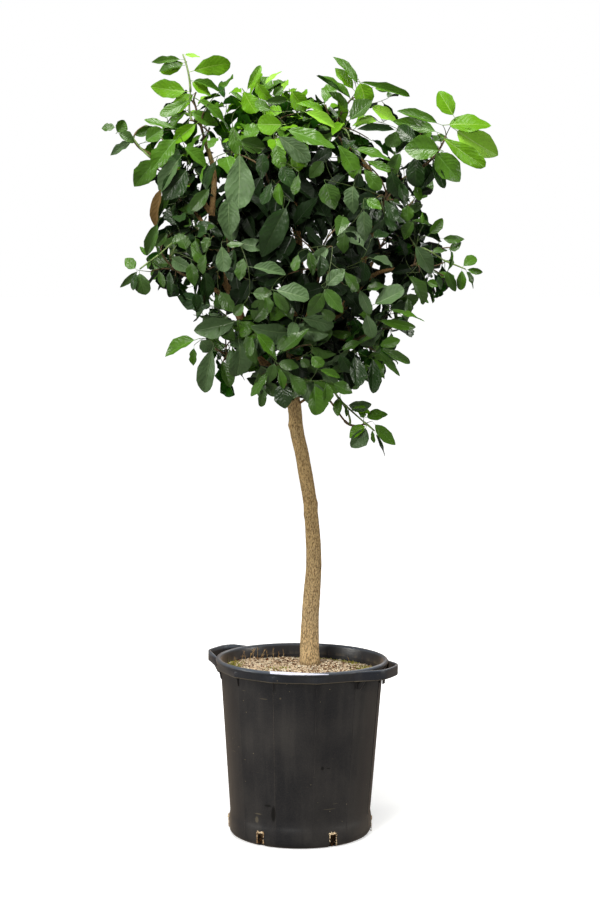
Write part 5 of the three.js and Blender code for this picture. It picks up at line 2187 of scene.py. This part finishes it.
    def buried(self, point: Array) -> bool:
        """Whether a point lies inside the crown, where little light comes.

        Args:
            point: the point.

        Returns:
            True where it does.
        """
        left, right, deep = self.sides_at(point[2])
        across = (point[0] - (left + right) / 2) / max((right - left) / 2, 1.0)
        limit = self.shade_high if point[2] > self.shade_split else self.shade_low
        return math.hypot(across, point[1] / deep) < limit and point[2] < self.shade_top

    def clear_view(self) -> None:
        """Drops the grown leaves that stand in front of placed ones."""
        placed = [leaf for leaf in self.leaves if leaf.placed]
        centres = np.stack([leaf.middle() for leaf in placed])
        lengths = np.array([leaf.length for leaf in placed])
        kept = []
        for leaf in self.leaves:
            middle = leaf.middle()
            gaps = np.linalg.norm(centres[:, (0, 2)] - middle[[0, 2]], axis=1)
            covers = (gaps < 0.34 * lengths + 0.32 * leaf.length) & (middle[1] < centres[:, 1] + 22)
            if leaf.placed or not covers.any():
                kept.append(leaf)
        self.leaves = kept

    def trim(self) -> None:
        """Cuts every twig where its last leaf or side twig leaves it."""
        for leaf in self.leaves:
            leaf.twig.need = max(leaf.twig.need, leaf.share)
        for twig in reversed(self.twigs):
            if twig.need and twig.parent is not None:
                twig.parent.need = max(twig.parent.need, twig.joint)
        self.twigs = [twig for twig in self.twigs if twig.need > 0]


@dataclass
class LeafForms:
    """The leaf blades to copy: a folded, curved oval with a pale rib strip, on a short stalk."""

    stations: tuple = (0.0, 0.06, 0.17, 0.31, 0.46, 0.61, 0.75, 0.87, 0.955, 1.0)
    stalk: float = 0.14
    rib: float = 0.025
    thick: float = 0.015
    bends: tuple = (
        (0.32, 0.10, 0.034, 0.10, 0.02, 0.62, 1.25), (0.20, 0.16, 0.056, -0.25, -0.03, 0.84, 0.92),
        (0.46, 0.04, 0.030, 0.35, 0.04, 0.70, 1.10), (0.26, 0.12, 0.066, -0.40, 0.05, 0.92, 0.85),
        (0.16, 0.00, 0.060, 0.20, -0.05, 0.60, 1.45), (0.40, 0.20, 0.040, 0.05, 0.0, 0.80, 1.0),
    )

    def form(
        self, fold: float, droop: float, wave: float, twist: float, skew: float, blunt: float, lead: float
    ) -> tuple[Array, ...]:
        """One leaf of length 1 and breadth 1, its stalk's foot at the origin.

        Args:
            fold: how far the edges rise from the rib.
            droop: how far the tip falls.
            wave: the height of the waves along the edge.
            twist: the turn of the tip about the rib, in radians.
            skew: how far the leaf bends sideways.
            blunt: the power of the outline, which is lower for blunter ends.
            lead: how far the broadest place lies towards the tip; 1 is the middle.

        Returns:
            The vertices, the faces, the faces' looks and the vertices' places on the leaf's map.
        """
        points, maps = [], []
        blade = 1 - self.stalk
        for u in self.stations:
            profile = (4 * u**lead * (1 - u**lead)) ** blunt if 0 < u < 1 else 0.0
            uneven = 1 + 0.05 * math.sin(u * (13 + 120 * abs(skew)) + 9 * twist)
            half = max(0.5 * profile * uneven, 0.012)
            rib = min(self.rib * (1.15 - u), half * 0.8)
            for v in (-1.0, -0.6, 0.0, 0.6, 1.0):
                across = v * half if v else 0.0
                for edge in ((-rib, rib) if v == 0 else (across,)):
                    rise = fold * abs(edge) * 1.2 - droop * (self.stalk + u * blade) ** 2
                    rise -= 0.05 * v**4 * profile
                    rise += wave * math.sin(u * 13 + v * 1.3) * v * v * profile
                    turn = twist * u
                    y = edge * math.cos(turn) + skew * u * u
                    z = rise + edge * math.sin(turn)
                    points.append((self.stalk + u * blade, y, z))
                    maps.append((u, 0.5 + (0.5 * v if v else 0.5 * edge)))
        faces, looks = [], []
        for row in range(len(self.stations) - 1):
            for column in range(5):
                a = row * 6 + column
                faces.append((a, a + 6, a + 7, a + 1))
                looks.append(1 if column == 2 else 0)
        count = len(points)
        thick = self.thick
        for x, z in ((0.0, 0.0), (self.stalk * 1.12, -droop * self.stalk**2)):
            for angle in (0.5, 2.6, 4.7):
                points.append((x, thick * math.cos(angle), z + thick * math.sin(angle) - thick * 0.5))
                maps.append((0.0, 0.5))
        for side in range(3):
            after = (side + 1) % 3
            faces.append((count + side, count + after, count + 3 + after, count + 3 + side))
            looks.append(1)
        return np.array(points), np.array(faces)[:, ::-1], np.array(looks), np.array(maps)

    def all(self) -> list[tuple[Array, ...]]:
        """The six forms."""
        return [self.form(*bends) for bends in self.bends]


@dataclass
class Crown:
    """The crown's pieces: the twigs, and the leaves of each tone."""

    skeleton: Skeleton
    thinnest: float = 0.7

    @staticmethod
    def blades(spots: list[LeafSpot], points: Array) -> Array:
        """Sets copies of one form at all its leaves.

        Args:
            spots: where the leaves stand.
            points: the form's vertices.

        Returns:
            The vertices of all the copies, in metres.
        """
        roots, headings, facings = (
            np.stack([getattr(leaf, name) for leaf in spots]) for name in ("root", "heading", "facing")
        )
        length, breadth, curl, sway = (
            np.array([getattr(leaf, name) for leaf in spots])[:, None, None]
            for name in ("length", "breadth", "curl", "sway")
        )
        headings = unit(headings)
        across = unit(np.cross(facings, headings))
        normals = np.cross(headings, across)
        x, y, z = (points[None, :, axis : axis + 1] for axis in range(3))
        z = z * (0.7 + 2.4 * np.abs(sway) + 0.5 * np.abs(curl)) - curl * x * x
        y = y + 2 * sway * x * (x - 0.35)
        places = roots[:, None] + headings[:, None] * x * length + across[:, None] * y * (length * breadth)
        return (places + normals[:, None] * z * length).reshape(-1, 3) * MM

    def leaf_pieces(self, leaves: list[LeafSpot]) -> None:
        """Models the leaves, one piece for each tone.

        Args:
            leaves: where the leaves stand.
        """
        forms = LeafForms().all()
        nodes = tuple("leaves_" + mass.name for mass in CROWN)
        for tone in Tone:
            joiner = Joiner()
            for index, (points, faces, looks, maps) in enumerate(forms):
                spots = [leaf for leaf in leaves if leaf.tone is tone and leaf.form == index]
                if not spots:
                    continue
                offsets = np.arange(len(spots))[:, None, None] * len(points)
                stacked = (faces[None] + offsets).reshape(-1, 4)
                tiled = (np.tile(looks, len(spots)), np.tile(maps, (len(spots), 1)))
                joiner.add(self.blades(spots, points), stacked, *tiled)
            if joiner.count:
                publish(joiner.build("leaves_" + tone.value), "leaf", leaf_materials(tone), nodes)

    def twig_pieces(self, twigs: list[Twig]) -> None:
        """Models the twigs, each kind apart: woody ones, fine ones, and the pale placed stems.

        Args:
            twigs: the twigs.
        """
        kinds = (
            ("twigs_woody", "bark", ShootFinish("brown_twig", shade(104, 84, 54), shade(66, 52, 34), 0.75)),
            ("twigs_fine", "leaf", ShootFinish("olive_twig", shade(70, 88, 38), shade(48, 62, 26))),
            ("stems_pale", "leaf", ShootFinish("pale_stem", shade(132, 156, 88), shade(92, 120, 54))),
        )
        for order, (name, slot, finish) in enumerate(kinds, 1):
            joiner = Joiner()
            for twig in (twig for twig in twigs if max(twig.order, 1) == order):
                shares = np.linspace(0, twig.need, 8)
                girths = np.maximum(twig.girth * (1 - Foliage.twig_taper * shares), self.thinnest)
                points, faces = tube(np.stack([twig.at(share) for share in shares]), girths, 6)
                joiner.add(points * MM, faces)
            publish(joiner.build(name), slot, [finish.build()])

    def build(self) -> None:
        """Grows and models the crown."""
        growth = Foliage(self.skeleton)
        for mass in CROWN:
            growth.grow(mass)
        growth.clear_view()
        growth.trim()
        LOG.info("crown: %d twigs, %d leaves", len(growth.twigs), len(growth.leaves))
        self.twig_pieces(growth.twigs)
        self.leaf_pieces(growth.leaves)


# The studio


@dataclass
class Studio:
    """The camera, the soft lights and the pale floor."""

    distance: float = 5.43
    eye: float = 1.50
    pitch: float = math.radians(5.8)
    lens: float = 89.6
    aim: tuple = (0.0, 0.0, 1.2)
    # Each light's name, place, size, power in watts, and colour.
    lights: tuple = (
        ("overhead", (-0.3, -1.4, 4.5), 1.8, 182.0, (1.0, 0.985, 0.93)),
        ("left", (-4.2, -1.0, 1.4), 1.4, 67.0, (1.0, 0.985, 0.93)),
        ("right", (4.4, -0.8, 1.3), 1.4, 66.0, (1.0, 0.985, 0.93)),
        ("front", (-1.8, -5.2, 2.4), 0.9, 135.0, (1.0, 0.985, 0.93)),
        ("behind", (1.4, 4.6, 3.6), 3.0, 55.0, (1.0, 1.0, 1.0)),
    )

    def camera(self) -> None:
        """Sets the camera at the photograph's viewing angle."""
        data = bpy.data.cameras.new("camera")
        data.lens = self.lens
        data.sensor_width = 36.0
        data.dof.use_dof = False
        camera = bpy.data.objects.new("camera", data)
        camera.location = (0.0, -self.distance, self.eye)
        camera.rotation_euler = (math.pi / 2 - self.pitch, 0.0, 0.0)
        bpy.context.scene.collection.objects.link(camera)
        bpy.context.scene.camera = camera

    def softbox(self, name: str, place: tuple, size: float, power: float, colour: tuple) -> None:
        """Hangs one area light that faces the tree.

        Args:
            name: the light's name.
            place: where it hangs.
            size: the length of its side.
            power: its power in watts.
            colour: its colour.
        """
        data = bpy.data.lights.new(name, "AREA")
        data.energy = power
        data.size = size
        data.color = colour
        light = bpy.data.objects.new(name, data)
        light.location = place
        light.rotation_euler = (Vector(self.aim) - Vector(place)).to_track_quat("-Z", "Y").to_euler()
        bpy.context.scene.collection.objects.link(light)

    def sky(self) -> None:
        """Sets the even pale surroundings."""
        world = bpy.data.worlds.new("studio")
        world.use_nodes = True
        world.node_tree.nodes.clear()
        bench = NodeBench(world.node_tree)
        seen = bench.put("LightPath").outputs["Is Camera Ray"]
        strength = bench.span(seen, 0.0, 1.0, 0.05, 1.0)
        backdrop = bench.put("Background", {"Color": (1.0, 1.0, 1.0, 1.0), "Strength": strength})
        output = bench.put("OutputWorld")
        world.node_tree.links.new(backdrop.outputs[0], output.inputs["Surface"])
        bpy.context.scene.world = world

    def ground(self) -> None:
        """Lays the plain pale floor."""
        Workbench.clear()
        place = (0, 0, -0.0004)
        bpy.ops.mesh.primitive_circle_add(vertices=96, radius=40.0, fill_type="NGON", location=place)
        floor = bpy.context.active_object
        floor.name = "studio_floor"
        material, bench, shader = new_material("studio_floor")
        seen = bench.put("LightPath").outputs["Is Camera Ray"]
        colour = bench.blend(seen, shade(134, 132, 130), shade(235, 235, 235))
        glow = bench.times(bench.span(bench.length(bench.place()), 0.25, 1.2, 0.6, 1.0), seen)
        inputs = {"Base Color": colour, "Roughness": 0.9, "Emission Color": (1.0, 1.0, 1.0, 1.0)}
        bench.feed(shader, {**inputs, "Emission Strength": glow, "Specular IOR Level": 0.0})
        floor.data.materials.append(material)

    def build(self) -> None:
        """Sets up the whole studio."""
        self.camera()
        self.sky()
        self.ground()
        for name, place, size, power, colour in self.lights:
            self.softbox(name, place, size, power, colour)
        bpy.context.scene.view_settings.view_transform = "Standard"


def main() -> None:
    """Builds the whole scene, piece by piece."""
    logging.basicConfig(level=logging.INFO, format="%(message)s")
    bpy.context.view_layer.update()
    SharedEffects().build()
    Studio().build()
    plastic = PlasticFinish().build()
    pot = PlantPot()
    pot.build(plastic)
    torn = EarthFinish("torn_plastic_edge", shade(228, 208, 176), shade(170, 134, 94)).build()
    root = EarthFinish("root_crumbs", shade(96, 66, 40), shade(30, 22, 16)).build()
    SlotDebris(pot).build(torn, root)
    CarryHandle("handle_right", math.radians(-26.5), 0.434).build(plastic)
    CarryHandle("handle_left", math.radians(153.5), 0.440).build(plastic)
    RimLabel(pot).build(BlankLabelFinish().build())
    ground = Ground()
    SoilBody(pot, ground).build(EarthFinish("soil_mix", shade(176, 150, 120), shade(96, 76, 56)).build())
    grit = {
        "beige": (0.44, (246, 226, 196), (210, 182, 150)),
        "cream": (0.26, (250, 240, 216), (222, 202, 172)),
        "brown": (0.25, (166, 134, 102), (90, 68, 48)),
        "rust": (0.05, (138, 84, 56), (84, 52, 38)),
    }
    looks = {
        kind: (share, EarthFinish("grit_" + kind, shade(*light), shade(*dark), 260).build())
        for kind, (share, light, dark) in grit.items()
    }
    Grit(ground).build(looks)
    growth = GroundGrowth(ground)
    growth.moss(EarthFinish("moss", shade(178, 168, 84), shade(118, 124, 54), 120).build())
    growth.dry_stems(EarthFinish("dry_stem", shade(206, 172, 120), shade(156, 122, 78), 200).build())
    skeleton = Skeleton()
    skeleton.lead()
    greyed = (shade(148, 116, 72), shade(96, 72, 44), shade(48, 38, 26), shade(120, 108, 74))
    skeleton.build(BarkFinish().build(), BarkFinish("bough_bark", *greyed, green_from=1.62).build())
    Crown(skeleton).build()


if __name__ == "__main__":
    main()
